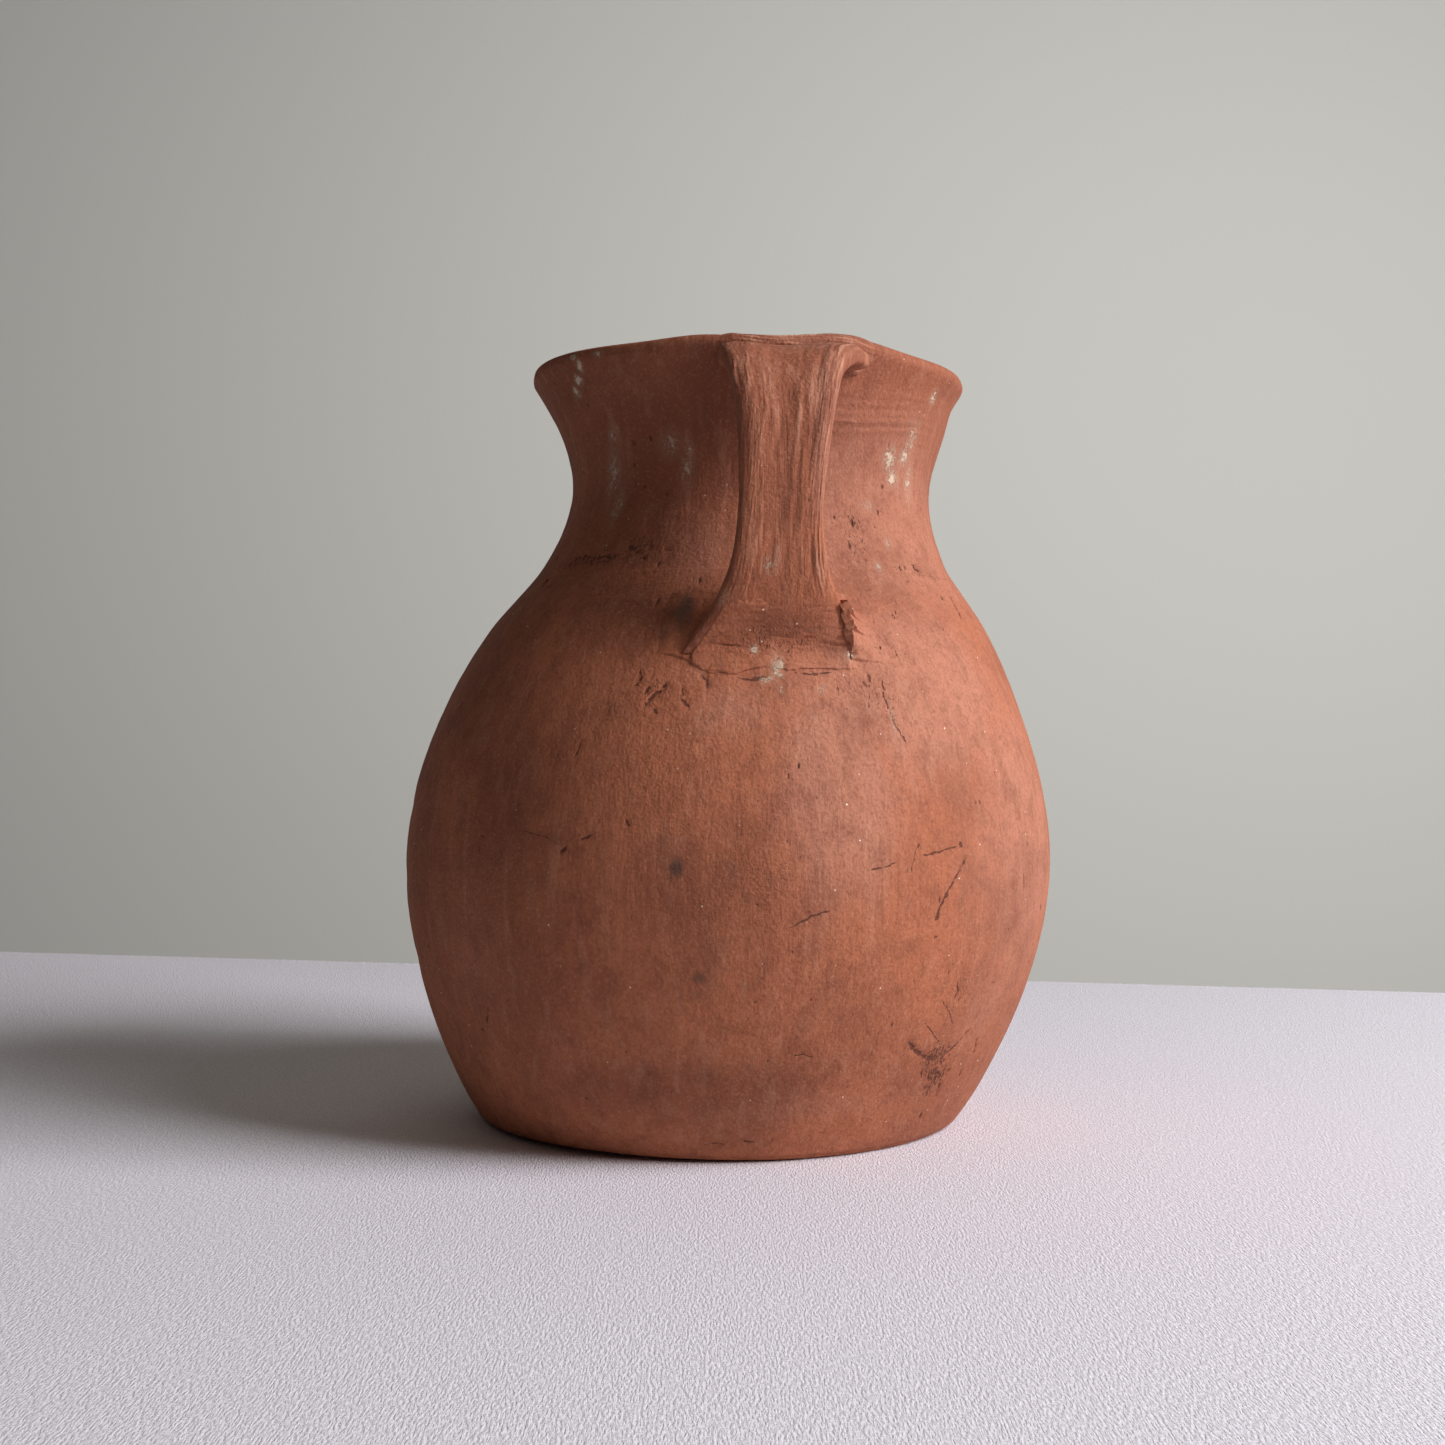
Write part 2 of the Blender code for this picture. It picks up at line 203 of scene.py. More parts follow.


# %% [markdown]
# ## What happened to the surface
# The marks that give this jug its age are placed by azimuth in degrees (0 faces the handle's side,
# positive to the right) and height in metres. A crack is a short chain of points, with a half
# width and a depth in metres. A stain is a place with a size. Some of these places are painted shade,
# painted shadow and painted sheen rather than stains.

# %% Cracks and scratches
CRACKS = (
    (((31.6, 0.0912), (33.4, 0.0916), (36.0, 0.0926), (38.6, 0.0934)), 0.00022, 0.00025),
    (((31.2, 0.095), (30.0, 0.0915), (29.4, 0.0872)), 0.00016, 0.00015),
    (((39.4, 0.0946), (39.9, 0.0934)), 0.0006, 0.00045),
    (((40.6, 0.09), (40.0, 0.088), (38.6, 0.085), (37.4, 0.082)), 0.00028, 0.00035),
    (((37.4, 0.082), (36.0, 0.0784), (35.0, 0.0748), (34.4, 0.0722)), 0.00042, 0.00045),
    (((8.1, 0.0712), (10.8, 0.0733), (12.6, 0.0752), (15.4, 0.0766)), 0.00022, 0.0002),
    (((61.6, 0.1712), (61.4, 0.169), (60.9, 0.166), (60.2, 0.1622)), 0.00034, 0.0004),
    (((56.0, 0.1696), (55.2, 0.168)), 0.00026, 0.0003),
    (((-45.0, 0.0452), (-45.7, 0.0428), (-46.4, 0.04)), 0.00032, 0.00045),
    (((28.0, 0.142), (27.6, 0.1375), (28.4, 0.133), (29.0, 0.129), (30.6, 0.1235)), 0.0002, 0.0002),
    (((29.8, 0.1268), (30.6, 0.124)), 0.00034, 0.00035),
    (((24.8, 0.1375), (24.3, 0.134)), 0.00022, 0.0002),
    (((-17.6, 0.1448), (-17.2, 0.1424), (-18.0, 0.14)), 0.0004, 0.00045),
    (((-12.2, 0.1408), (-13.2, 0.1384), (-14.8, 0.1362), (-15.4, 0.134)), 0.00046, 0.00055),
    (((-15.0, 0.1398), (-15.8, 0.1378)), 0.0003, 0.0004),
    (((-13.8, 0.1336), (-13.0, 0.132)), 0.00036, 0.0004),
    (((-9.2, 0.1402), (-8.8, 0.1372)), 0.00024, 0.0003),
    (((-9.0, 0.1362), (-7.6, 0.1338)), 0.00034, 0.00035),
    (((-26.0, 0.124), (-26.4, 0.1196)), 0.0002, 0.00025),
    (((-16.2, 0.102), (-15.6, 0.1003)), 0.0004, 0.00045),
    (((-23.4, 0.0962), (-21.8, 0.0976)), 0.00034, 0.0004),
    (((-27.0, 0.092), (-25.9, 0.0942)), 0.00036, 0.00045),
    (((-34.6, 0.0982), (-31.4, 0.0972), (-28.8, 0.0964)), 0.00014, 0.00012),
    (((0.6, 0.1424), (3.0, 0.1416), (5.2, 0.1428)), 0.0004, 0.0005),
    (((11.0, 0.144), (14.0, 0.1434), (17.5, 0.1442)), 0.0003, 0.0004),
    (((-6.5, 0.144), (-5.0, 0.1418), (-4.6, 0.1392)), 0.0003, 0.0004),
    (((5.2, 0.0072), (7.2, 0.0066)), 0.0003, 0.0004),
    (((-2.6, 0.0056), (-0.4, 0.0064), (1.2, 0.0058)), 0.00022, 0.00025),
    (((11.4, 0.0342), (13.4, 0.0348), (15.3, 0.0338)), 0.00016, 0.00012),
    (((33.8, 0.0362), (35.2, 0.0338), (37.4, 0.0318), (39.6, 0.03), (42.0, 0.029)), 0.0005, 0.0006),
    (((35.6, 0.0424), (37.8, 0.0394), (41.0, 0.0352)), 0.00016, 0.0002),
    (((44.6, 0.0302), (47.4, 0.033), (49.0, 0.0368)), 0.00026, 0.0004),
    (((39.8, 0.0262), (40.4, 0.0238)), 0.0004, 0.00045),
    (((42.0, 0.0256), (42.6, 0.0226)), 0.00036, 0.00045),
    (((44.4, 0.0248), (45.0, 0.0208)), 0.0004, 0.0005),
    (((46.4, 0.0262), (47.0, 0.0206), (47.6, 0.0164)), 0.00034, 0.0005),
    (((48.4, 0.025), (47.6, 0.0226)), 0.00026, 0.0003),
    (((53.6, 0.033), (54.6, 0.0304), (55.0, 0.0284)), 0.00034, 0.0004),
    (((41.6, 0.053), (42.4, 0.05), (41.8, 0.048)), 0.00022, 0.00025),
    (((39.0, 0.0478), (41.6, 0.0436), (43.4, 0.04)), 0.00014, 0.00016),
    (((57.6, 0.0836), (58.0, 0.079)), 0.00014, 0.00016),
    (((22.0, 0.0878), (24.4, 0.0884), (26.4, 0.0896)), 0.00018, 0.00016),
    (((-61.6, 0.175), (-60.2, 0.173)), 0.00085, 0.0009),
    (((50.2, 0.1792), (50.4, 0.178), (51.8, 0.1772)), 0.00052, 0.0007),
    (((44.0, 0.178), (43.6, 0.1768)), 0.00034, 0.0004),
    (((-43.0, 0.1806), (-40.4, 0.1812), (-37.6, 0.18)), 0.00034, 0.0004),
    (((-52.0, 0.1812), (-49.0, 0.1822), (-46.0, 0.181)), 0.00026, 0.00035),
    (((-33.0, 0.1836), (-31.0, 0.1828)), 0.0004, 0.00045),
    (((-27.6, 0.18), (-26.4, 0.1794)), 0.0004, 0.0005),
    (((-22.0, 0.1822), (-19.6, 0.1816)), 0.00026, 0.00035),
    (((150.0, 0.0462), (152.6, 0.043), (153.0, 0.0392)), 0.0004, 0.0005),
    (((146.4, 0.042), (148.0, 0.0398)), 0.00034, 0.0004),
    (((-126.0, 0.101), (-127.6, 0.096), (-127.0, 0.091)), 0.0003, 0.00035),
    (((176.0, 0.148), (178.4, 0.145), (179.8, 0.14)), 0.0003, 0.0004),
    (((104.0, 0.113), (106.4, 0.1104), (108.0, 0.106)), 0.00026, 0.0003),
    (((-98.0, 0.162), (-97.0, 0.158), (-98.2, 0.154)), 0.0003, 0.00035),
    (((92.0, 0.056), (94.0, 0.054)), 0.00034, 0.0004),
)
print(len(CRACKS), "cracks")

# %% Torn ground, stains, painted shade and sheen, and pits
# Ground where the scraper tore the clay: azimuth, height, reach in metres across and up, strength.
TORN = (
    (42.5, 0.03, 0.008, 0.005, 1.0),
    (44.0, 0.0225, 0.005, 0.0065, 1.0),
    (43.0, 0.05, 0.0055, 0.0065, 0.55),
    (44.5, 0.044, 0.0035, 0.005, 0.5),
    (-44.0, 0.18, 0.026, 0.003, 0.8),
    (-30.0, 0.183, 0.008, 0.004, 0.9),
    (-15.0, 0.139, 0.006, 0.006, 0.55),
    (22.0, 0.14, 0.01, 0.0035, 0.5),
    (28.0, 0.137, 0.006, 0.008, 0.5),
    (47.0, 0.177, 0.015, 0.003, 0.35),
    (31.0, 0.188, 0.006, 0.012, 0.6),
    (5.0, 0.085, 0.007, 0.007, 0.5),
    (2.0, 0.078, 0.015, 0.006, 0.22),
    (-12.0, 0.113, 0.006, 0.011, 0.3),
    (60.0, 0.086, 0.003, 0.011, 0.4),
    (150.0, 0.042, 0.009, 0.006, 0.8),
    (-125.0, 0.095, 0.006, 0.008, 0.6),
    (120.0, 0.178, 0.03, 0.003, 0.7),
    (-150.0, 0.178, 0.024, 0.003, 0.7),
    (-95.0, 0.179, 0.02, 0.0035, 0.7),
    (178.0, 0.144, 0.006, 0.008, 0.6),
)
# Pale lime left by water: azimuth, height, reach across and up, strength.
LIME = (
    (45.0, 0.212, 0.004, 0.0052, 0.8),
    (51.5, 0.2135, 0.004, 0.004, 0.74),
    (47.5, 0.2064, 0.004, 0.0034, 0.78),
    (56.0, 0.206, 0.0034, 0.009, 0.6),
    (53.0, 0.22, 0.005, 0.007, 0.6),
    (59.0, 0.233, 0.003, 0.0035, 0.72),
    (42.0, 0.185, 0.0022, 0.003, 0.6),
    (36.5, 0.197, 0.004, 0.003, 0.52),
    (-47.0, 0.208, 0.005, 0.012, 0.6),
    (-43.0, 0.198, 0.004, 0.008, 0.56),
    (-20.0, 0.209, 0.0034, 0.011, 0.56),
    (-25.0, 0.215, 0.006, 0.006, 0.54),
    (-46.0, 0.22, 0.003, 0.004, 0.62),
    (-51.5, 0.2416, 0.0026, 0.002, 0.95),
    (-49.8, 0.2384, 0.0018, 0.0026, 0.95),
    (-52.6, 0.2352, 0.0026, 0.0018, 0.95),
    (-56.0, 0.2325, 0.0024, 0.002, 0.85),
    (-42.0, 0.241, 0.0034, 0.0018, 0.7),
    (-24.0, 0.242, 0.0022, 0.001, 0.6),
    (7.6, 0.1455, 0.0028, 0.0052, 0.8),
    (5.6, 0.1418, 0.003, 0.002, 0.72),
    (8.2, 0.1392, 0.001, 0.002, 0.8),
    (21.6, 0.1495, 0.0024, 0.0026, 0.82),
    (3.2, 0.1508, 0.0018, 0.002, 0.72),
    (15.6, 0.1392, 0.0024, 0.002, 0.62),
    (28.6, 0.13, 0.0012, 0.01, 0.55),
    (36.0, 0.177, 0.0024, 0.0026, 0.6),
    (160.0, 0.21, 0.006, 0.008, 0.8),
    (-140.0, 0.19, 0.006, 0.009, 0.7),
    (110.0, 0.13, 0.005, 0.01, 0.62),
    (-170.0, 0.06, 0.004, 0.006, 0.6),
)
# Dark smudges from the fire, and painted shadow in the pocket left of the strap's foot: azimuth, height,
# reach across and up, strength.
SOOT_AND_SHADOW_SPOTS = (
    (-8.0, 0.089, 0.003, 0.0036, 0.9),
    (1.0, 0.088, 0.006, 0.005, 0.4),
    (6.0, 0.085, 0.007, 0.006, 0.42),
    (3.0, 0.08, 0.009, 0.005, 0.4),
    (-4.4, 0.0578, 0.0028, 0.0026, 0.85),
    (-4.6, 0.053, 0.0014, 0.0016, 0.8),
    (-3.0, 0.029, 0.008, 0.005, 0.45),
    (-15.0, 0.03, 0.013, 0.005, 0.35),
    (10.0, 0.073, 0.009, 0.004, 0.26),
    (-25.0, 0.086, 0.006, 0.018, 0.36),
    (-30.0, 0.122, 0.009, 0.009, 0.3),
    (-13.0, 0.072, 0.011, 0.01, 0.26),
    # Painted shadow: these two darken the pocket beside the strap's foot, where the strap blocks the light.
    (-10.6, 0.1625, 0.006, 0.0075, 1.0),
    (-14.5, 0.155, 0.0045, 0.003, 0.6),
    (33.0, 0.042, 0.016, 0.008, 0.25),
    (135.0, 0.08, 0.02, 0.026, 0.55),
    (-110.0, 0.05, 0.012, 0.01, 0.5),
    (-165.0, 0.12, 0.01, 0.014, 0.45),
    (90.0, 0.145, 0.018, 0.012, 0.35),
)
# Dry slip that leaves the clay paler and pinker, and painted sheen on the side that faces the light:
# azimuth, height, reach across and up, strength.
PALE_AND_PAINTED_SHEEN = (
    # Painted sheen: the first four make the lit right side paler and pinker.
    (42.0, 0.195, 0.042, 0.03, 1.0),
    (36.0, 0.14, 0.038, 0.026, 1.0),
    (18.0, 0.112, 0.018, 0.034, 0.9),
    (60.0, 0.095, 0.034, 0.05, 0.75),
    (-12.0, 0.182, 0.01, 0.013, 0.7),
    (0.0, 0.133, 0.014, 0.01, 0.5),
    (10.0, 0.018, 0.05, 0.006, 0.4),
    (52.0, 0.045, 0.016, 0.016, 0.5),
    (-48.0, 0.06, 0.02, 0.024, 0.35),
    (130.0, 0.13, 0.04, 0.04, 0.7),
    (-150.0, 0.08, 0.04, 0.03, 0.6),
    (170.0, 0.195, 0.026, 0.02, 0.6),
    (-100.0, 0.125, 0.026, 0.032, 0.5),
)
# Ground that the smoke left browner, and painted shade on the left of the neck, rim and shoulder, away from
# the light, in the strap's shadow and under its foot: azimuth, height, reach across and up, strength.
BROWN_AND_PAINTED_SHADE = (
    # Painted shade: the next six darken the neck in the strap's shadow and the left of the rim and shoulder,
    # away from the light.
    (-34.0, 0.212, 0.03, 0.03, 1.0),
    (-12.0, 0.225, 0.012, 0.026, 1.0),
    (-60.0, 0.235, 0.026, 0.012, 0.9),
    (-22.0, 0.185, 0.018, 0.014, 0.9),
    (-26.0, 0.16, 0.02, 0.012, 0.9),
    (-55.0, 0.145, 0.026, 0.026, 0.7),
    (-62.0, 0.085, 0.022, 0.036, 0.8),
    (-30.0, 0.056, 0.03, 0.026, 0.5),
    (-8.0, 0.082, 0.016, 0.018, 0.6),
    (-40.0, 0.105, 0.03, 0.03, 0.7),
    (4.0, 0.096, 0.01, 0.01, 0.5),
    (-10.0, 0.024, 0.06, 0.013, 0.8),
    (28.0, 0.033, 0.034, 0.01, 0.3),
    (24.0, 0.064, 0.012, 0.012, 0.2),
    # Painted shade under the strap's foot, which faces down.
    (6.0, 0.158, 0.012, 0.005, 0.9),
    (120.0, 0.06, 0.05, 0.03, 0.8),
    (-120.0, 0.15, 0.04, 0.03, 0.8),
    (170.0, 0.09, 0.03, 0.05, 0.7),
    (90.0, 0.215, 0.03, 0.02, 0.6),
)
PITS = 900
dice = np.random.default_rng(11)
pit_azimuths = dice.uniform(-180.0, 180.0, PITS)
pit_heights = dice.uniform(0.004, 0.238, PITS)
pit_sizes = 0.00028 + 0.00042 * dice.uniform(0.0, 1.0, PITS) ** 3
pit_stretch = 1.0 + 1.6 * dice.uniform(0.0, 1.0, PITS) ** 2
print(PITS, "pits,", len(LIME), "lime stains,", len(SOOT_AND_SHADOW_SPOTS), "smudges,", len(PALE_AND_PAINTED_SHEEN) + len(BROWN_AND_PAINTED_SHADE), "tints")

# %% [markdown]
# ## From marks to depth
# Every point of the outer face asks the same question: how deep do the marks cut here? Because
# the answer depends only on azimuth and height, two courses agree along the joint between them.
#
# The answers are also kept as attributes, which the clay's colour reads, and some of them place painted
# shade and painted sheen. A crack is finer than the mesh, so what is kept is the signed distance to its
# middle line. Between two points of the mesh that number passes smoothly through nought, and the material
# can draw a dark hairline of painted shade there.

# %% Depth of the marks


def flat_offset(azimuth, height, centre_azimuth, centre_height):
    """Metres across and up the wall from a place on it."""
    turn = (azimuth - centre_azimuth + 180.0) % 360.0 - 180.0
    return np.radians(turn) * along(RADIUS, centre_height), height - centre_height


def crack_marks(azimuth, height):
    """Depth, signed distance to the nearest crack and its half width, the last two in mm."""
    depth = np.zeros(len(azimuth))
    signed = np.full(len(azimuth), 4.0)
    half = np.zeros(len(azimuth))
    for points, half_width, deep in CRACKS:
        x0, z0 = flat_offset(azimuth, height, *points[0])
        line = [np.array(flat_offset(a, h, *points[0])) for a, h in points]
        reach = 0.004 + max(np.hypot(*end) for end in line)
        near = np.flatnonzero(np.hypot(x0, z0) < reach)
        x, z = x0[near], z0[near]
        for i, (start, end) in enumerate(zip(line, line[1:])):
            run = end - start
            share = ((x - start[0]) * run[0] + (z - start[1]) * run[1]) / (run @ run)
            held = np.clip(share, 0.0, 1.0)
            off_x, off_z = x - start[0] - held * run[0], z - start[1] - held * run[1]
            distance = np.hypot(off_x, off_z)
            side = np.sign(off_x * run[1] - off_z * run[0] + 1e-12)
            taper = 1.0
            if i == 0:
                taper = taper * smooth(share, -0.3, 0.3)
            if i == len(line) - 2:
                taper = taper * (1 - smooth(share, 0.7, 1.3))
            closer = distance * 1000 < np.abs(signed[near])
            chosen = near[closer]
            signed[chosen] = (side * distance * 1000)[closer]
            fade = taper * (1 - smooth(distance, 0.0011, 0.0026))
            half[chosen] = (half_width * 1000 * fade)[closer]
            cut = deep * taper * bell(distance, max(0.00055, 1.3 * half_width))
            depth[near] = np.maximum(depth[near], cut)
    return depth, signed, half


def spot_mask(azimuth, height, spots):
    """A soft mask of places given by azimuth, height, reach across, reach up and strength."""
    mask = np.zeros(len(azimuth))
    for a0, h0, across, up, strength in spots:
        x, z = flat_offset(azimuth, height, a0, h0)
        mask = np.maximum(mask, strength * np.exp(-((x / across) ** 2) - (z / up) ** 2))
    return mask


def pit_depths(azimuth, height):
    depth = np.zeros(len(azimuth))
    order = np.argsort(height)
    sorted_heights = height[order]
    for a0, h0, size, stretch in zip(pit_azimuths, pit_heights, pit_sizes, pit_stretch):
        reach = 2.2 * size * stretch
        first, last = np.searchsorted(sorted_heights, (h0 - reach, h0 + reach))
        near = order[first:last]
        x, z = flat_offset(azimuth[near], height[near], a0, h0)
        hole = 0.5 * size * np.exp(-((x / size) ** 2) - (z / (size * stretch)) ** 2)
        depth[near] = np.maximum(depth[near], hole)
    return depth


COURSE_JOINTS = (0.0517, 0.0793, 0.1028)
NECK_JOINT = 0.1760
RIM_JOINT = 0.2215
# Finger ridges under the rim: height, half width and strength.
SMEARS = (
    (0.2215, 0.0009, 1.0), (0.2236, 0.0006, 0.8), (0.2188, 0.0007, 0.6),
    (0.2262, 0.0006, 0.5), (0.2288, 0.0009, 0.4),
)


def joint_dents(points, azimuth, height):
    """The shallow, uneven hollow that is left where one course is pressed on another."""
    dents = np.zeros(len(height))
    for i, joint in enumerate(COURSE_JOINTS):
        level = joint + 0.0016 * lumps(points, 0.035, 20 + i)
        share = np.clip(0.10 + 0.75 * lumps(points, 0.045, 30 + i), 0.0, 1.0)
        share = np.maximum(share, 0.9 * bell(away(azimuth, -92.0), 26.0))
        dents += 0.00036 * share * bell(height - level, 0.0036)
    level = NECK_JOINT + 0.0030 + 0.0016 * lumps(points, 0.030, 41)
    share = np.clip(0.35 + 0.8 * lumps(points, 0.03, 42), 0.0, 1.0)
    dents += 0.00040 * share * bell(height - level, 0.0034)
    return dents


def smear_lines(azimuth, height):
    """Level ridges that a wet finger left under the rim, to the right of the handle."""
    rise = 0.00007 * (azimuth - 20.0) + 0.0004 * np.sin(np.radians(azimuth * 9.0))
    ridges = np.zeros(len(height))
    for level, width, strength in SMEARS:
        ridges += strength * bell(height - level - rise, width)
    return 0.00052 * ridges * smooth(azimuth, 14.0, 22.0) * (1 - smooth(azimuth, 44.0, 74.0))


def outer_face(azimuth, height):
    """How far the marks move the outer face inwards, and the masks for its colour."""
    angle = np.radians(azimuth)
    flat = as_points(0.1 * np.sin(angle), -0.1 * np.cos(angle), height)
    body = 0.00024 * lumps(flat, 0.034, 2) + 0.00019 * lumps(flat, (0.013, 0.013, 0.05), 3)
    scraped = 0.00008 * lumps(flat, (0.0040, 0.0040, 0.03), 4)
    grain = 0.00005 * lumps(flat, 0.0028, 5) + 0.000035 * lumps(flat, (0.0014, 0.0014, 0.0022), 6)
    cracks, signed, half = crack_marks(azimuth, height)
    torn = spot_mask(azimuth, height, TORN)
    crumbs = lumps(flat, (0.0014, 0.0014, 0.0028), 7) + 0.6 * lumps(flat, 0.0011, 8)
    crumbs = torn * np.clip(crumbs - 0.2, 0.0, 1.0)
    pits = pit_depths(azimuth, height)
    dents = joint_dents(flat, azimuth, height) - smear_lines(azimuth, height)
    inward = 0.00034 - body - scraped - grain + dents + cracks + pits + 0.0004 * crumbs
    # The pale, brown and soot masks carry painted sheen, painted shade and painted shadow as well as stains,
    # and the crack and hole masks darken cracks and pits as painted shade.
    masks = {
        "crack": signed,
        "open": half,
        "torn": torn,
        "hole": np.clip(pits / 0.00022, 0.0, 1.0),
        "lime": spot_mask(azimuth, height, LIME),
        "soot_and_painted_shadow": spot_mask(azimuth, height, SOOT_AND_SHADOW_SPOTS),
        "pale": spot_mask(azimuth, height, PALE_AND_PAINTED_SHEEN),
        "brown": spot_mask(azimuth, height, BROWN_AND_PAINTED_SHADE),
    }
    return inward, masks


# %% [markdown]
# ## A way to turn a ring of clay
# Each course is a ring. Its cross-section is a closed loop: up the outer face, over the joint,
# down the inner face. A circle primitive gives the loop its points, and they are laid out on the
# section. Spin carries the loop a sixteenth of the way round. That sector is copied and turned
# four times, twice as far each time, and the seams are merged. One long spin would give the same
# ring, but Blender slows down with each step of it.

# %% Rings
SECTORS = 16
SECTOR_STEPS = 52
FINE = 0.00075
COARSE = 0.0050
WALL = 0.0070
SCARF = 0.0045
SHARP_ANGLE = 50.0


def deselect():
    if bpy.context.mode != "OBJECT":
        bpy.ops.object.mode_set(mode="OBJECT")
    bpy.ops.object.select_all(action="DESELECT")


def name_piece(name):
    piece = bpy.context.object
    piece.name = name
    piece.data.name = name
    return piece


def read_points(piece):
    points = np.empty(len(piece.data.vertices) * 3)
    piece.data.vertices.foreach_get("co", points)
    return points.reshape(-1, 3)


def write_points(piece, points):
    """Moves the points, keeping each inside the drawing's box."""
    inside = np.clip(points, np.array(drawing_box[0]), np.array(drawing_box[1]))
    piece.data.vertices.foreach_set("co", inside.ravel())
    piece.data.update()


def keep_masks(piece, masks):
    for name, values in masks.items():
        mask = piece.data.attributes.new(name, "FLOAT", "POINT")
        mask.data.foreach_set("value", np.asarray(values, np.float32))


def finish_edit(piece):
    """Merges doubles, points the faces outwards and shades smooth but for sharp edges."""
    deselect()
    bpy.context.view_layer.objects.active = piece
    piece.select_set(True)
    bpy.ops.object.mode_set(mode="EDIT")
    bpy.ops.mesh.select_all(action="SELECT")
    bpy.ops.mesh.remove_doubles(threshold=0.000001)
    bpy.ops.mesh.normals_make_consistent(inside=False)
    bpy.ops.object.mode_set(mode="OBJECT")
    bpy.ops.object.shade_smooth_by_angle(angle=math.radians(SHARP_ANGLE))
    deselect()


def turned_ring(name, section):
    """Turns a closed loop of (radius, height) points about Z."""
    deselect()
    bpy.ops.mesh.primitive_circle_add(vertices=len(section), radius=0.1)
    piece = name_piece(name)
    write = np.array([(0.0, -radius, height) for radius, height in section])
    piece.data.vertices.foreach_set("co", write.ravel())
    bpy.ops.object.mode_set(mode="EDIT")
    bpy.ops.mesh.select_all(action="SELECT")
    turn = math.tau / SECTORS
    bpy.ops.mesh.spin(steps=SECTOR_STEPS, angle=turn, center=(0.0, 0.0, 0.0), axis=(0.0, 0.0, 1.0))
    while turn < math.tau:
        bpy.ops.mesh.select_all(action="SELECT")
        bpy.ops.mesh.duplicate()
        bpy.ops.transform.rotate(value=turn, orient_axis="Z", center_override=(0.0, 0.0, 0.0))
        turn *= 2
    finish_edit(piece)
    return piece


def work_surface(piece):
    """Cuts the marks in a turned ring, makes its inside uneven, and settles it in place."""
    points = read_points(piece)
    azimuth = np.degrees(np.arctan2(points[:, 0], -points[:, 1]))
    radius = np.hypot(points[:, 0], points[:, 1])
    height = points[:, 2]
    within = along(RADIUS, np.clip(height, 0.0, OUTLINE_TOP)) - radius
    outer = 1.0 - smooth(within, 0.0008, 0.0030)
    inner = smooth(within, 0.0040, 0.0060)
    inward, masks = outer_face(azimuth, height)
    thumbed = 0.0005 * lumps(points, 0.018, 50) + 0.0002 * lumps(points, (0.02, 0.02, 0.004), 51)
    radius = radius - outer * inward + inner * thumbed
    write_points(piece, settle(azimuth, np.maximum(radius, 0.0), height))
    for name in ("open", "torn", "hole", "lime", "soot_and_painted_shadow"):
        masks[name] = outer * masks[name]
    keep_masks(piece, masks)
    print(piece.name, len(piece.data.polygons), "faces")


def steps_between(low, high, pitch):
    return np.linspace(low, high, max(2, math.ceil((high - low) / pitch)) + 1)


# %% [markdown]
# ## The courses of the wall
# Four courses make the body, and a collar makes the neck. Each joint slopes upwards to the
# inside, as it does when a coil is pressed down over the edge below and smeared to seal it. The
# outer faces meet at the same heights as the solids of the drawing.

# %% Courses
COURSES = (
    ("lower_wall", 0.0028, COURSE_JOINTS[0], "wall_clay"),
    ("belly_course_low", COURSE_JOINTS[0], COURSE_JOINTS[1], "wall_clay"),
    ("belly_course_high", COURSE_JOINTS[1], COURSE_JOINTS[2], "wall_clay"),
    ("shoulder", COURSE_JOINTS[2], NECK_JOINT, "wall_clay"),
    ("neck_collar", NECK_JOINT, RIM_JOINT, "neck_clay"),
)
pieces = {}


def take_place(piece, node, slot):
    """The piece rides on the jug and stands for its solid in the drawing."""
    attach(piece, "root")
    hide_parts(node)
    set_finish(piece, slot)
    pieces[node] = piece


for node, low, high, slot in COURSES:
    outer = [(along(RADIUS, h), h) for h in steps_between(low, high, FINE)]
    inner = [wall_point(h, WALL) for h in steps_between(low + SCARF, high + SCARF, COARSE)]
    ring = turned_ring(node + "_clay", outer + inner[::-1])
    work_surface(ring)
    take_place(ring, node, slot)

# %% [markdown]
# ## The rim and its spout
# The rim band flares from the neck and ends in a rounded lip. While the clay was soft a finger
# drew the lip outwards opposite the handle and two others held it in on each side. The settling
# function already does that, so the band only needs a lip: half a circle from the outer face
# over the top to the inner face, square to the flare.

# %% Rim band
LIP_STEPS = 16


def around_lip(reach, over):
    """Section point this far from the middle of the lip, by degrees from the outer face."""
    middle, level = wall_point(LIP_HEIGHT, LIP_RADIUS)
    edge, foot = wall_point(LIP_HEIGHT, 0.0)
    angle = np.arctan2(foot - level, edge - middle) + np.radians(over)
    return middle + reach * np.cos(angle), level + reach * np.sin(angle)


outer = [(along(RADIUS, h), h) for h in steps_between(RIM_JOINT, LIP_HEIGHT, FINE)]
lip = [around_lip(LIP_RADIUS, 180.0 * i / LIP_STEPS) for i in range(1, LIP_STEPS + 1)]
inner_foot = wall_point(RIM_JOINT + SCARF, WALL)
inner = [
    (lip[-1][0] + (inner_foot[0] - lip[-1][0]) * t, lip[-1][1] + (inner_foot[1] - lip[-1][1]) * t)
    for t in np.linspace(0.0, 1.0, 8)[1:]
]
rim = turned_ring("rim_band_clay", outer + lip + inner)
work_surface(rim)
take_place(rim, "rim_band", "neck_clay")

# %% [markdown]
# ## The base slab
# The wall stands on a disc of clay. Its underside is flat where the jug rests and worn round at
# the edge, more on one side, so the foot stands a hair above the table there. The section runs
# from the middle of the underside, round the edge, and back to the middle of the inside.

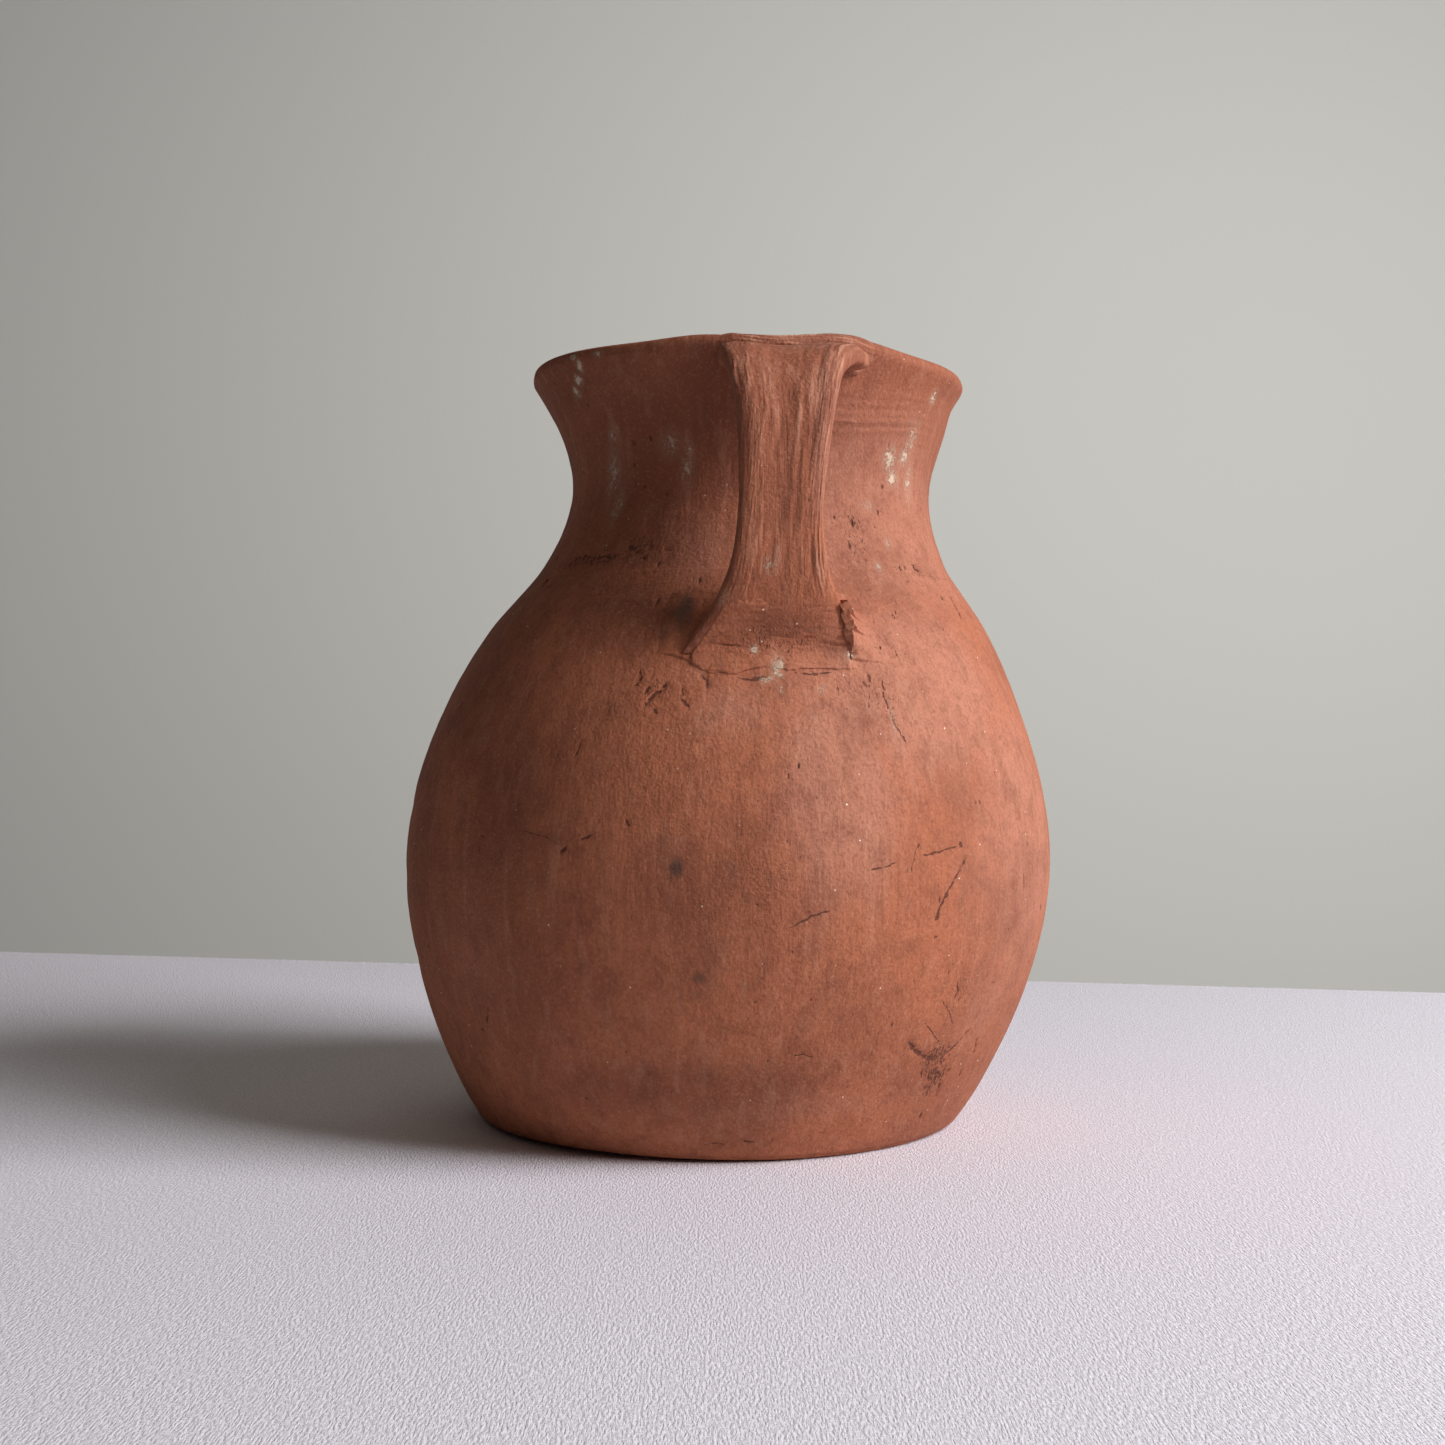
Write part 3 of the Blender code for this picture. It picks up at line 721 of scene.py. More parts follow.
# %% Base
SLAB_JOINT = 0.0028
SLAB_EDGE = 0.0016
slab_radius = float(along(RADIUS, 0.0))
slab_inner, slab_top = wall_point(SLAB_JOINT + SCARF, WALL)
underside = [(r, 0.0) for r in np.linspace(0.0, slab_radius - SLAB_EDGE, 12)]
edge = [
    (
        slab_radius - SLAB_EDGE + SLAB_EDGE * math.sin(math.radians(a)),
        SLAB_EDGE - SLAB_EDGE * math.cos(math.radians(a)),
    )
    for a in (20, 40, 60, 80)
]
side = [(along(RADIUS, h), h) for h in (SLAB_EDGE, 0.0022, SLAB_JOINT)]
floor_of_jug = [(r, slab_top) for r in np.linspace(slab_inner, 0.0, 12)]
slab = turned_ring("base_slab_clay", underside + edge + side + floor_of_jug)
work_surface(slab)
take_place(slab, "base_slab", "base_clay")

# %% [markdown]
# ## The strap handle
# The strap was pulled from a roll of clay with wet fingers, which leaves long furrows down its
# face, a raised right edge and a shallow channel. A grid is the natural start: one direction runs
# round the strap's section, the other along it. The grid is rolled into a tube on the strap's
# path. The furrows are fixed to shares of its width, so they spread where the strap spreads.

# %% Path and section of the strap
# Distance out from the neck's axis, height, width, sideways shift, thickness and channel depth.
STRAP = np.array((
    (0.0668, 0.2390, 0.0460, 0.0060, 0.0074, 0.0018),
    (0.0760, 0.2386, 0.0416, 0.0036, 0.0084, 0.0017),
    (0.0872, 0.2325, 0.0346, 0.0012, 0.0088, 0.0012),
    (0.0928, 0.2205, 0.0288, 0.0006, 0.0088, 0.0008),
    (0.0943, 0.2050, 0.0257, -0.0004, 0.0088, 0.0007),
    (0.0936, 0.1890, 0.0244, -0.0012, 0.0086, 0.0006),
    (0.0918, 0.1745, 0.0284, -0.0014, 0.0086, 0.0004),
    (0.0880, 0.1630, 0.0380, -0.0014, 0.0086, 0.0002),
    (0.0848, 0.1500, 0.0520, -0.0030, 0.0040, 0.0000),
))
NECK_AXIS = 0.0115
# Rough width and length of the strap, which give its furrows their scale.
STRAP_WIDE, STRAP_LONG = 0.030, 0.100
STRAP_AROUND, STRAP_ALONG = ((240, 220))


def through(stations, t):
    """A smooth curve through the stations, t from 0 at the first to 1 at the last."""
    last = len(stations) - 1
    place = np.clip(t * last, 0.0, last - 1e-9)
    i = place.astype(int)
    s = (place - i)[:, None]
    a, b = stations[np.maximum(i - 1, 0)], stations[i]
    c, d = stations[i + 1], stations[np.minimum(i + 2, last)]
    bend = (2 * a - 5 * b + 4 * c - d) * s**2 + (3 * b - a - 3 * c + d) * s**3
    return 0.5 * (2 * b + (c - a) * s + bend)


def strap_section(turn):
    """Across and outward shares of the strap's section. A half turn runs over its outer face."""
    angle = math.tau * turn
    across, outward = -np.cos(angle), np.sin(angle)
    across = np.sign(across) * np.abs(across) ** 0.6
    outward = np.sign(outward) * np.abs(outward) ** 0.5
    return 0.5 * across, 0.5 * outward


def strap_relief(across, v):
    """Relief of the strap's outer face in metres, and its furrows from -1 to 1."""
    place = as_points(across * STRAP_WIDE, 0.0, v * STRAP_LONG)
    sway = 0.0010 * lumps(place, (0.010, 1.0, 0.020), 60) + 0.0003 * lumps(place, (0.003, 1.0, 0.007), 59)
    combed = place + as_points(sway, 0.0, 0.0)
    slanted = combed + as_points(0.16 * (place[:, 2] - 0.5 * STRAP_LONG), 0.0, 0.0)
    fine = lumps(combed, (0.00036, 1.0, 0.006), 61) + 0.8 * lumps(slanted, (0.0005, 1.0, 0.0045), 63)
    broad = lumps(combed, (0.0011, 1.0, 0.013), 62) + 0.7 * lumps(slanted, (0.0020, 1.0, 0.016), 66)
    uneven = lumps(place, (0.008, 1.0, 0.014), 64)
    combed_part = 1 - smooth(v, 0.80, 0.86)
    combed_part = combed_part * (0.55 + 0.45 * smooth(lumps(place, (0.006, 1.0, 0.012), 67), -0.5, 0.3))
    level = lumps(place, (0.009, 1.0, 0.0007), 68) + 0.6 * lumps(place, (0.005, 1.0, 0.0004), 69)
    scraped = 0.00009 * level * smooth(v, 0.82, 0.87)
    rib = 0.0004 * bell(across - 0.40, 0.08) * (1 - smooth(v, 0.35, 0.55)) * smooth(v, 0.12, 0.24)
    fold = 0.0002 * bell(across - 0.29, 0.03) * (1 - smooth(v, 0.35, 0.50)) * smooth(v, 0.16, 0.28)
    relief = combed_part * (0.00013 * fine + 0.00021 * broad) + 0.0003 * uneven + scraped + rib - fold
    return relief, combed_part * np.clip(0.40 * fine + 0.40 * broad, -1.0, 1.0)


def strap_point(across_share, outward_share, v, extra):
    """A point of the strap, by shares of its width and thickness and an extra height."""
    middle = through(STRAP, v)
    ahead, behind = through(STRAP, np.minimum(v + 0.01, 1.0)), through(STRAP, np.maximum(v - 0.01, 0.0))
    run = ahead[:, :2] - behind[:, :2]
    run = run / np.linalg.norm(run, axis=1)[:, None]
    sideways = across_share * middle[:, 2] + middle[:, 3]
    out = outward_share * middle[:, 4] + extra
    distance = middle[:, 0] - run[:, 1] * out
    height = middle[:, 1] + run[:, 0] * out
    angle = math.radians(HANDLE_AZIMUTH)
    x = NECK_AXIS + distance * math.sin(angle) + sideways * math.cos(angle)
    y = -distance * math.cos(angle) + sideways * math.sin(angle)
    return as_points(x, y, height)


def strap_place(u, v):
    across, outward = strap_section(u)
    on_face = smooth(outward, 0.05, 0.3)
    channel = through(STRAP, v)[:, 5] * bell(across + 0.04, 0.26)
    side = as_points(across * STRAP_WIDE, outward * 0.008, v * STRAP_LONG)
    rough_side = 0.0002 * lumps(side, (0.004, 0.002, 0.008), 65)
    relief, furrows = strap_relief(across, v)
    extra = on_face * (relief - channel) + (1 - on_face) * rough_side
    masks = {
        "ridge": on_face * furrows,
        "pale": np.maximum(
            on_face * bell(across - 0.42, 0.12) * (1 - smooth(v, 0.5, 0.7)),
            0.9 * bell(across - 0.15, 0.25) * bell(v - 0.13, 0.09),
        ),
        # Painted shade on the strap's foot, which faces down, and along the left of its face.
        "brown": 0.8 * smooth(v, 0.84, 0.90) * on_face + 0.5 * bell(across + 0.40, 0.10) * on_face,
        "lime": np.maximum(
            0.60 * on_face * bell(across + 0.12, 0.09) * bell(v - 0.745, 0.03),
            0.50 * bell(across + 0.46, 0.06) * bell(v - 0.84, 0.05),
        ),
        # Painted shadow in the undercut along the strap's left edge.
        "soot_and_painted_shadow": 0.5 * bell(across + 0.5, 0.06) * smooth(v, 0.1, 0.4) * (1 - smooth(v, 0.75, 0.9)),
    }
    return strap_point(across, outward, v, extra), masks


def laid_grid(name, across, upward, place):
    """A grid primitive laid out by place(u, v), both from 0 to 1, which also gives masks."""
    deselect()
    bpy.ops.mesh.primitive_grid_add(x_subdivisions=across, y_subdivisions=upward, size=1.0)
    piece = name_piece(name)
    flat = read_points(piece)
    points, masks = place(flat[:, 0] + 0.5, flat[:, 1] + 0.5)
    write_points(piece, points)
    keep_masks(piece, masks)
    print(name, len(piece.data.polygons), "faces")
    return piece


strap = laid_grid("handle_strap_clay", STRAP_AROUND, STRAP_ALONG, strap_place)

# %% [markdown]
# The rolled grid meets itself along one line, where merging by distance closes the tube. Its two
# open ends are filled. They sit inside the rim and the shoulder, as they do on the jug.

# %% Close the strap
bpy.context.view_layer.objects.active = strap
bpy.ops.object.mode_set(mode="EDIT")
bpy.ops.mesh.select_all(action="SELECT")
bpy.ops.mesh.remove_doubles(threshold=0.000002)
bpy.ops.mesh.select_all(action="DESELECT")
bpy.ops.mesh.select_non_manifold()
bpy.ops.mesh.fill_holes(sides=0)
finish_edit(strap)
take_place(strap, "handle_strap", "handle_clay")

# %% [markdown]
# ## Clay at the handle's joints
# Where the strap meets the shoulder the potter pressed on a pad of soft clay, dragged a flap of
# it out to the right, and worked more clay over the rim at the top. Each is a skin laid on what
# lies below: a grid that follows the wall, stands thick in the middle and thins out into the
# wall at its edges. Solidify then gives it a body.

# %% Skins


def solid_skin(piece, body_depth):
    """Gives a laid grid a body below its face, and closes it."""
    deselect()
    bpy.context.view_layer.objects.active = piece
    body = piece.modifiers.new("body", "SOLIDIFY")
    body.thickness = body_depth
    body.offset = -1.0
    bpy.ops.object.modifier_apply(modifier=body.name)
    finish_edit(piece)


def face_radius(azimuth, height):
    """Radius of the worked outer face, before the jug leans, and its masks."""
    inward, masks = outer_face(azimuth, height)
    return along(RADIUS, height) - inward, masks


def blend_over(first, second, width):
    """The larger of two, with the corner between them filled over this width."""
    overlap = np.clip(width - np.abs(first - second), 0.0, None) / width
    return np.maximum(first, second) + 0.25 * width * overlap**2


def strap_front(azimuth, height):
    """Radius at which a level line from the wall's middle meets the strap's face near its foot."""
    v = np.linspace(0.55, 1.0, 60)
    mid = through(STRAP, v)
    face = strap_point(np.zeros(60), np.full(60, 0.5), v, np.zeros(60))
    order = np.argsort(face[:, 2])
    levels = face[order, 2]
    face_x = np.interp(height, levels, face[order, 0]) - along(LEAN, height)
    face_y = np.interp(height, levels, face[order, 1])
    width = np.interp(height, levels, mid[order, 2])
    thickness = np.interp(height, levels, mid[order, 4])
    facing = math.radians(HANDLE_AZIMUTH)
    ahead = face_x * math.sin(facing) - face_y * math.cos(facing)
    aside = face_x * math.cos(facing) + face_y * math.sin(facing)
    turn = np.radians(azimuth) - facing
    reach = ahead / np.cos(turn)
    edge = np.abs(reach * np.sin(turn) - aside) / (0.5 * width)
    rounding = 1 - (1 - np.clip(edge, 0.0, 1.0) ** 3.3) ** 0.25
    return reach - 0.5 * thickness * rounding - 0.030 * smooth(edge, 0.88, 1.0)


PAD_GRID = ((230, 130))
PAD_AZIMUTHS = (-17.0, 25.0)
PAD_HEIGHTS = (0.1412, 0.1680)
SHOULDER_RADIUS = 0.088
SKIN_SINK = 0.0004


def pad_edge(azimuth):
    """The pad's lower edge, which dips in the middle and climbs to the left."""
    return 0.1446 - 0.0024 * bell(azimuth + 1.0, 4.5) + 0.0045 * smooth(-azimuth, 4.0, 14.0)


def pad_place(u, v):
    azimuth = PAD_AZIMUTHS[0] + (PAD_AZIMUTHS[1] - PAD_AZIMUTHS[0]) * u
    height = PAD_HEIGHTS[0] + (PAD_HEIGHTS[1] - PAD_HEIGHTS[0]) * v
    flat = as_points(np.radians(azimuth) * SHOULDER_RADIUS, 0.0, height)
    ragged = 0.0005 * lumps(flat, 0.004, 70) + 0.0003 * lumps(flat, 0.0012, 71)
    above = height - pad_edge(azimuth) - ragged
    sunk = smooth(u, 0.0, 0.10) * (1 - smooth(u, 0.90, 1.0)) * smooth(above, -0.0004, 0.0008)
    swell = smooth(above, 0.0, 0.0100)
    lumpy = 0.00018 * lumps(flat, 0.0045, 72) + 0.00013 * lumps(flat, (0.005, 1, 0.0008), 73)
    wall, masks = face_radius(azimuth, height)
    layer = wall + sunk * (0.0009 + 0.0008 * swell + lumpy) - SKIN_SINK
    foot_line = 0.1640 + 0.0012 * lumps(flat, 0.004, 77) + 0.0010 * lumps(flat, (0.0008, 1, 0.004), 78)
    thinned = 0.0012 * smooth(height - foot_line, -0.0015, 0.0035)
    over_strap = strap_front(azimuth, height) + lumpy + 0.0001 - thinned
    radius = blend_over(layer, over_strap, 0.0028)
    tear = 0.0016 * bell(above - 0.0007, 0.0006) * bell(azimuth - 1.2, 4.2)
    slit = bell(height - 0.1449, 0.00030) * smooth(azimuth, 11.0, 12.0) * (1 - smooth(azimuth, 18.0, 19.0))
    crease_line = 0.1520 - 0.00022 * (azimuth + 2.0) + 0.0002 * lumps(flat, 0.002, 74)
    crease = bell(height - crease_line, 0.00035) * bell(azimuth + 1.5, 2.4)
    second = bell(height - 0.1556 + 0.00016 * azimuth, 0.0003) * bell(azimuth - 8.0, 3.0)
    radius = radius - tear - 0.0007 * slit - 0.0006 * crease - 0.0003 * second
    masks["torn"] = np.maximum(masks["torn"], 0.6 * bell(azimuth - 6.0, 14.0) * bell(height - 0.1530, 0.006))
    # Painted shade in the tear, the slit and the creases.
    masks["hole"] = np.clip(tear / 0.0008 + 0.8 * slit + 0.8 * crease + 0.5 * second, 0.0, 1.0)
    # Painted shadow: the soot mask is kept only on the pad's left, in the pocket beside the strap's foot.
    masks["soot_and_painted_shadow"] = masks["soot_and_painted_shadow"] * (1 - smooth(azimuth, -12.0, -6.0))
    return settle(azimuth, radius, height), masks


pad = laid_grid("handle_root_pad_clay", *PAD_GRID, pad_place)
solid_skin(pad, 0.0016)
take_place(pad, "handle_root_pad", "luting_clay")

# %% [markdown]
# The flap was dragged from the strap's right side down on to the shoulder. Its left edge is torn
# in steps and stands free of the strap's foot, and its other edges thin out into the wall.

# %% Patch
PATCH_GRID = ((120, 130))
# Corners by azimuth and height: low left, low right, high right, high left.
PATCH_CORNERS = np.array(((22.4, 0.1470), (35.6, 0.1450), (30.0, 0.1606), (18.4, 0.1660)))


def patch_place(u, v):
    low = PATCH_CORNERS[0] * (1 - u)[:, None] + PATCH_CORNERS[1] * u[:, None]
    high = PATCH_CORNERS[3] * (1 - u)[:, None] + PATCH_CORNERS[2] * u[:, None]
    corner = low * (1 - v)[:, None] + high * v[:, None]
    azimuth, height = corner[:, 0], corner[:, 1]
    steps = 0.9 * smooth(v, 0.50, 0.515) - 0.9 * smooth(v, 0.50, 0.80)
    steps = steps + 0.8 * smooth(v, 0.76, 0.775) - 0.8 * smooth(v, 0.76, 0.97)
    ragged = as_points(0.0, 0.0, v * 0.02)
    steps = steps + 0.22 * lumps(ragged, 0.0011, 79)
    azimuth = azimuth + steps * (1 - u) ** 2
    flat = as_points(np.radians(azimuth) * SHOULDER_RADIUS, 0.0, height)
    wall, masks = face_radius(azimuth, height)
    left_edge = wall + 0.0012 + (0.0914 + 0.0030 * v - wall) * smooth(v, 0.04, 0.34)
    web = np.clip(1 - u / 0.9, 0.0, 1.0) ** 2.4
    fade = (1 - smooth(u, 0.86, 1.0)) * smooth(v, 0.0, 0.10) * (1 - 0.9 * smooth(v, 0.93, 1.0))
    dragged = 0.00012 * lumps(flat, (0.006, 1, 0.0014), 75) + 0.0001 * lumps(flat, 0.002, 76)
    face = wall + 0.0005 + dragged + np.clip(left_edge - wall, 0.0, None) * web
    masks["torn"] = 0.5 * bell(u - 0.9, 0.08)
    return settle(azimuth, wall + fade * (face - wall) - SKIN_SINK, height), masks


patch = laid_grid("handle_root_patch_clay", *PATCH_GRID, patch_place)
solid_skin(patch, 0.0026)
take_place(patch, "handle_root_patch", "luting_clay")

# %% [markdown]
# At the top the strap's clay was worked over the lip and dragged round it to the right, where it
# ends in an overhanging crease. The skin starts as a short skirt on the outside of the rim and
# then goes round the lip.

# %% Saddle over the rim
SADDLE_GRID = ((190, 110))
SADDLE_AZIMUTHS = (-14.0, 40.0)
SKIRT, SKIRT_SHARE = 0.0085, 0.38
SADDLE_OVER = 195.0
RIM_RADIUS = 0.07


def saddle_place(u, v):
    azimuth = SADDLE_AZIMUTHS[0] + (SADDLE_AZIMUTHS[1] - SADDLE_AZIMUTHS[0]) * u
    down = SKIRT * np.clip(1 - v / SKIRT_SHARE, 0.0, 1.0)
    over = SADDLE_OVER * np.clip((v - SKIRT_SHARE) / (1 - SKIRT_SHARE), 0.0, 1.0)
    flat = as_points(np.radians(azimuth) * RIM_RADIUS, 0.0, np.radians(over) * 0.004 - down)
    crease = 0.0062 - 0.00020 * (azimuth - 22.0) + 0.0003 * lumps(flat, 0.003, 83)
    crease = crease - 0.0007 * np.clip(azimuth - 27.0, 0.0, None)
    hem = 1 - smooth(down - crease, -0.0002, 0.0005)
    start = 7.0 * smooth(down, 0.0, 0.002) - 11.0
    ends = smooth(azimuth, start, start + 6.0) * (1 - smooth(azimuth, 22.0, 38.0))
    inside = 1 - smooth(over, 120.0, 190.0)
    combed = flat + as_points(0.25 * flat[:, 2], 0.0, 0.10 * flat[:, 0])
    furrows = lumps(combed, (0.006, 1.0, 0.0007), 80) + 0.7 * lumps(combed, (0.004, 1.0, 0.0004), 81)
    under_strap = 1 - bell(azimuth - 6.0, 13.0)
    thick = ends * inside * hem * (0.0012 + 0.0007 * bell(down - 0.0045, 0.0025) * under_strap)
    thick = thick + ends * inside * hem * (0.00015 * furrows + 0.0002 * lumps(flat, 0.006, 82)) - 0.0005
    radius, height = around_lip(LIP_RADIUS + thick, over)
    side_radius, side_height = wall_point(LIP_HEIGHT - down, -thick)
    radius = np.where(down > 0, side_radius, radius)
    height = np.where(down > 0, side_height, height)
    masks = {
        "ridge": 0.8 * ends * furrows,
        "pale": 0.8 * bell(azimuth - 16.0, 14.0),
        "torn": 0.3 * ends,
        # Painted shadow under the overhanging crease.
        "hole": 0.4 * bell(down - crease, 0.0004) * smooth(azimuth, 16.0, 20.0) * ends**2,
    }
    return settle(azimuth, radius, height), masks


saddle = laid_grid("rim_saddle_clay", *SADDLE_GRID, saddle_place)
solid_skin(saddle, 0.0016)
take_place(saddle, "rim_saddle", "handle_clay")

# %% [markdown]
# ## Fired clay as a material
# Terracotta is dull, but never one colour. It is paler and pinker where slip dried on it, darker
# where the fire smoked it, streaked by the scraper, peppered with grit and mica, and it is darker
# inside cracks. Here the colour also holds painted light: painted sheen on the side that faces the light,
# painted shade on the side away from it, in the strap's shadow and under its foot, painted shade in cracks,
# pits and creases, painted highlight and shade on the strap's furrows, and mica painted near-white as its
# glint. Every pattern here is worked out from the place on the object, so it runs across the joints. A
# little class lets shader sums be written as Python sums.

# %% Shader sums


class Flow:
    """A number socket that can be added, subtracted, multiplied and divided."""

    def __init__(self, paint, socket):
        self.paint = paint
        self.socket = socket

    def sum_with(self, operation, first, second):
        node = self.paint.node("ShaderNodeMath", {"operation": operation}, {0: first, 1: second})
        return Flow(self.paint, node.outputs[0])

    def __add__(self, other):
        return self.sum_with("ADD", self, other)

    def __sub__(self, other):
        return self.sum_with("SUBTRACT", self, other)

    def __rsub__(self, other):
        return self.sum_with("SUBTRACT", other, self)

    def __mul__(self, other):
        return self.sum_with("MULTIPLY", self, other)

    def __truediv__(self, other):
        return self.sum_with("DIVIDE", self, other)

    __radd__ = __add__
    __rmul__ = __mul__


class Paint:
    """Makes one material's nodes. Each maker returns a Flow."""

    def __init__(self, name):
        self.material = bpy.data.materials.new(name)
        self.material.use_nodes = True
        self.tree = self.material.node_tree
        self.shader = self.tree.nodes["Principled BSDF"]
        self.place = self.node("ShaderNodeTexCoord").outputs["Object"]

    def node(self, kind, settings=None, inputs=None):
        made = self.tree.nodes.new(kind)
        for key, value in (settings or {}).items():
            setattr(made, key, value)
        for key, value in (inputs or {}).items():
            self.feed(made.inputs[key], value)
        return made

    def feed(self, socket, value):
        value = value.socket if isinstance(value, Flow) else value
        if isinstance(value, bpy.types.NodeSocket):
            self.tree.links.new(value, socket)
        else:
            socket.default_value = value

    def stretched(self, scale):
        """Object coordinates with each axis scaled."""
        return self.node("ShaderNodeMapping", None, {"Vector": self.place, "Scale": scale}).outputs[0]

    def height(self):
        """Height above the table."""
        return Flow(self, self.node("ShaderNodeSeparateXYZ", None, {0: self.place}).outputs["Z"])

    def noise(self, size, detail=3.0, rough=0.5, stretch=(1.0, 1.0, 1.0), warp=0.0):
        """Noise from 0 to 1 with lumps about this size in metres."""
        inputs = {
            "Vector": self.stretched(stretch),
            "Scale": 1.0 / size,
            "Detail": detail,
            "Roughness": rough,
            "Distortion": warp,
        }
        return Flow(self, self.node("ShaderNodeTexNoise", None, inputs).outputs[0])

    def specks(self, size, amount, reach, tall):
        """Small dots: one cell in so many holds a dot of this share of the cell."""
        place = self.stretched((1.0, 1.0, tall))
        cells = self.node("ShaderNodeTexVoronoi", None, {"Vector": place, "Scale": 1.0 / size})
        parts = self.node("ShaderNodeSeparateColor", None, {0: cells.outputs["Color"]})
        chosen = self.step(Flow(self, parts.outputs[0]), 1.0 - amount, 1.0 - 0.8 * amount)
        size_of = Flow(self, parts.outputs[1]) * 0.6 + 0.4
        inside = 1 - self.step(Flow(self, cells.outputs["Distance"]) / size_of, 0.6 * reach, reach)
        return chosen * inside

    def either(self, first, second):
        """The larger of two masks."""
        return first.sum_with("MAXIMUM", first, second)

    def mask(self, name):
        found = self.node("ShaderNodeAttribute", {"attribute_name": name})
        return Flow(self, found.outputs["Fac"])

    def step(self, value, low, high):
        """Nought below low, one above high, smooth between."""
        inputs = {"Value": value, "From Min": low, "From Max": high}
        made = self.node("ShaderNodeMapRange", {"interpolation_type": "SMOOTHSTEP"}, inputs)
        return Flow(self, made.outputs[0])

    def mix(self, share, first, second):
        """A colour between two, by a share from 0 to 1."""
        made = self.node("ShaderNodeMix", {"data_type": "RGBA"}, {0: share, 6: first, 7: second})
        return made.outputs[2]

    def bump(self, height, depth):
        inputs = {"Height": height, "Distance": depth, "Strength": 1.0}
        return self.node("ShaderNodeBump", None, inputs).outputs[0]


# %% [markdown]
# The five finishes are one clay in five states. What changes is the tone, how much it was
# streaked, how gritty it is and how much lime it holds. Lime is not a coat of paint: it fills
# the pores, so its mask is broken up by a fine noise. A hairline crack is drawn dark, as painted shade,
# where the signed distance is smaller than its half width, and both are shaken a little to make it jagged.
# The masks also paint sheen on the lit side and shade on the side away from the light.

# %% Clay finishes
TONES = {
    "orange": (0.455, 0.148, 0.068, 1.0),
    "pink": (0.520, 0.222, 0.138, 1.0),
    "brown": (0.215, 0.064, 0.031, 1.0),
    "buff": (0.590, 0.285, 0.175, 1.0),
    "deep": (0.105, 0.030, 0.017, 1.0),
    "soot_and_painted_shadow": (0.070, 0.042, 0.030, 1.0),
    "lime": (0.700, 0.580, 0.420, 1.0),
    "mica_and_glint": (0.950, 0.850, 0.700, 1.0),
}


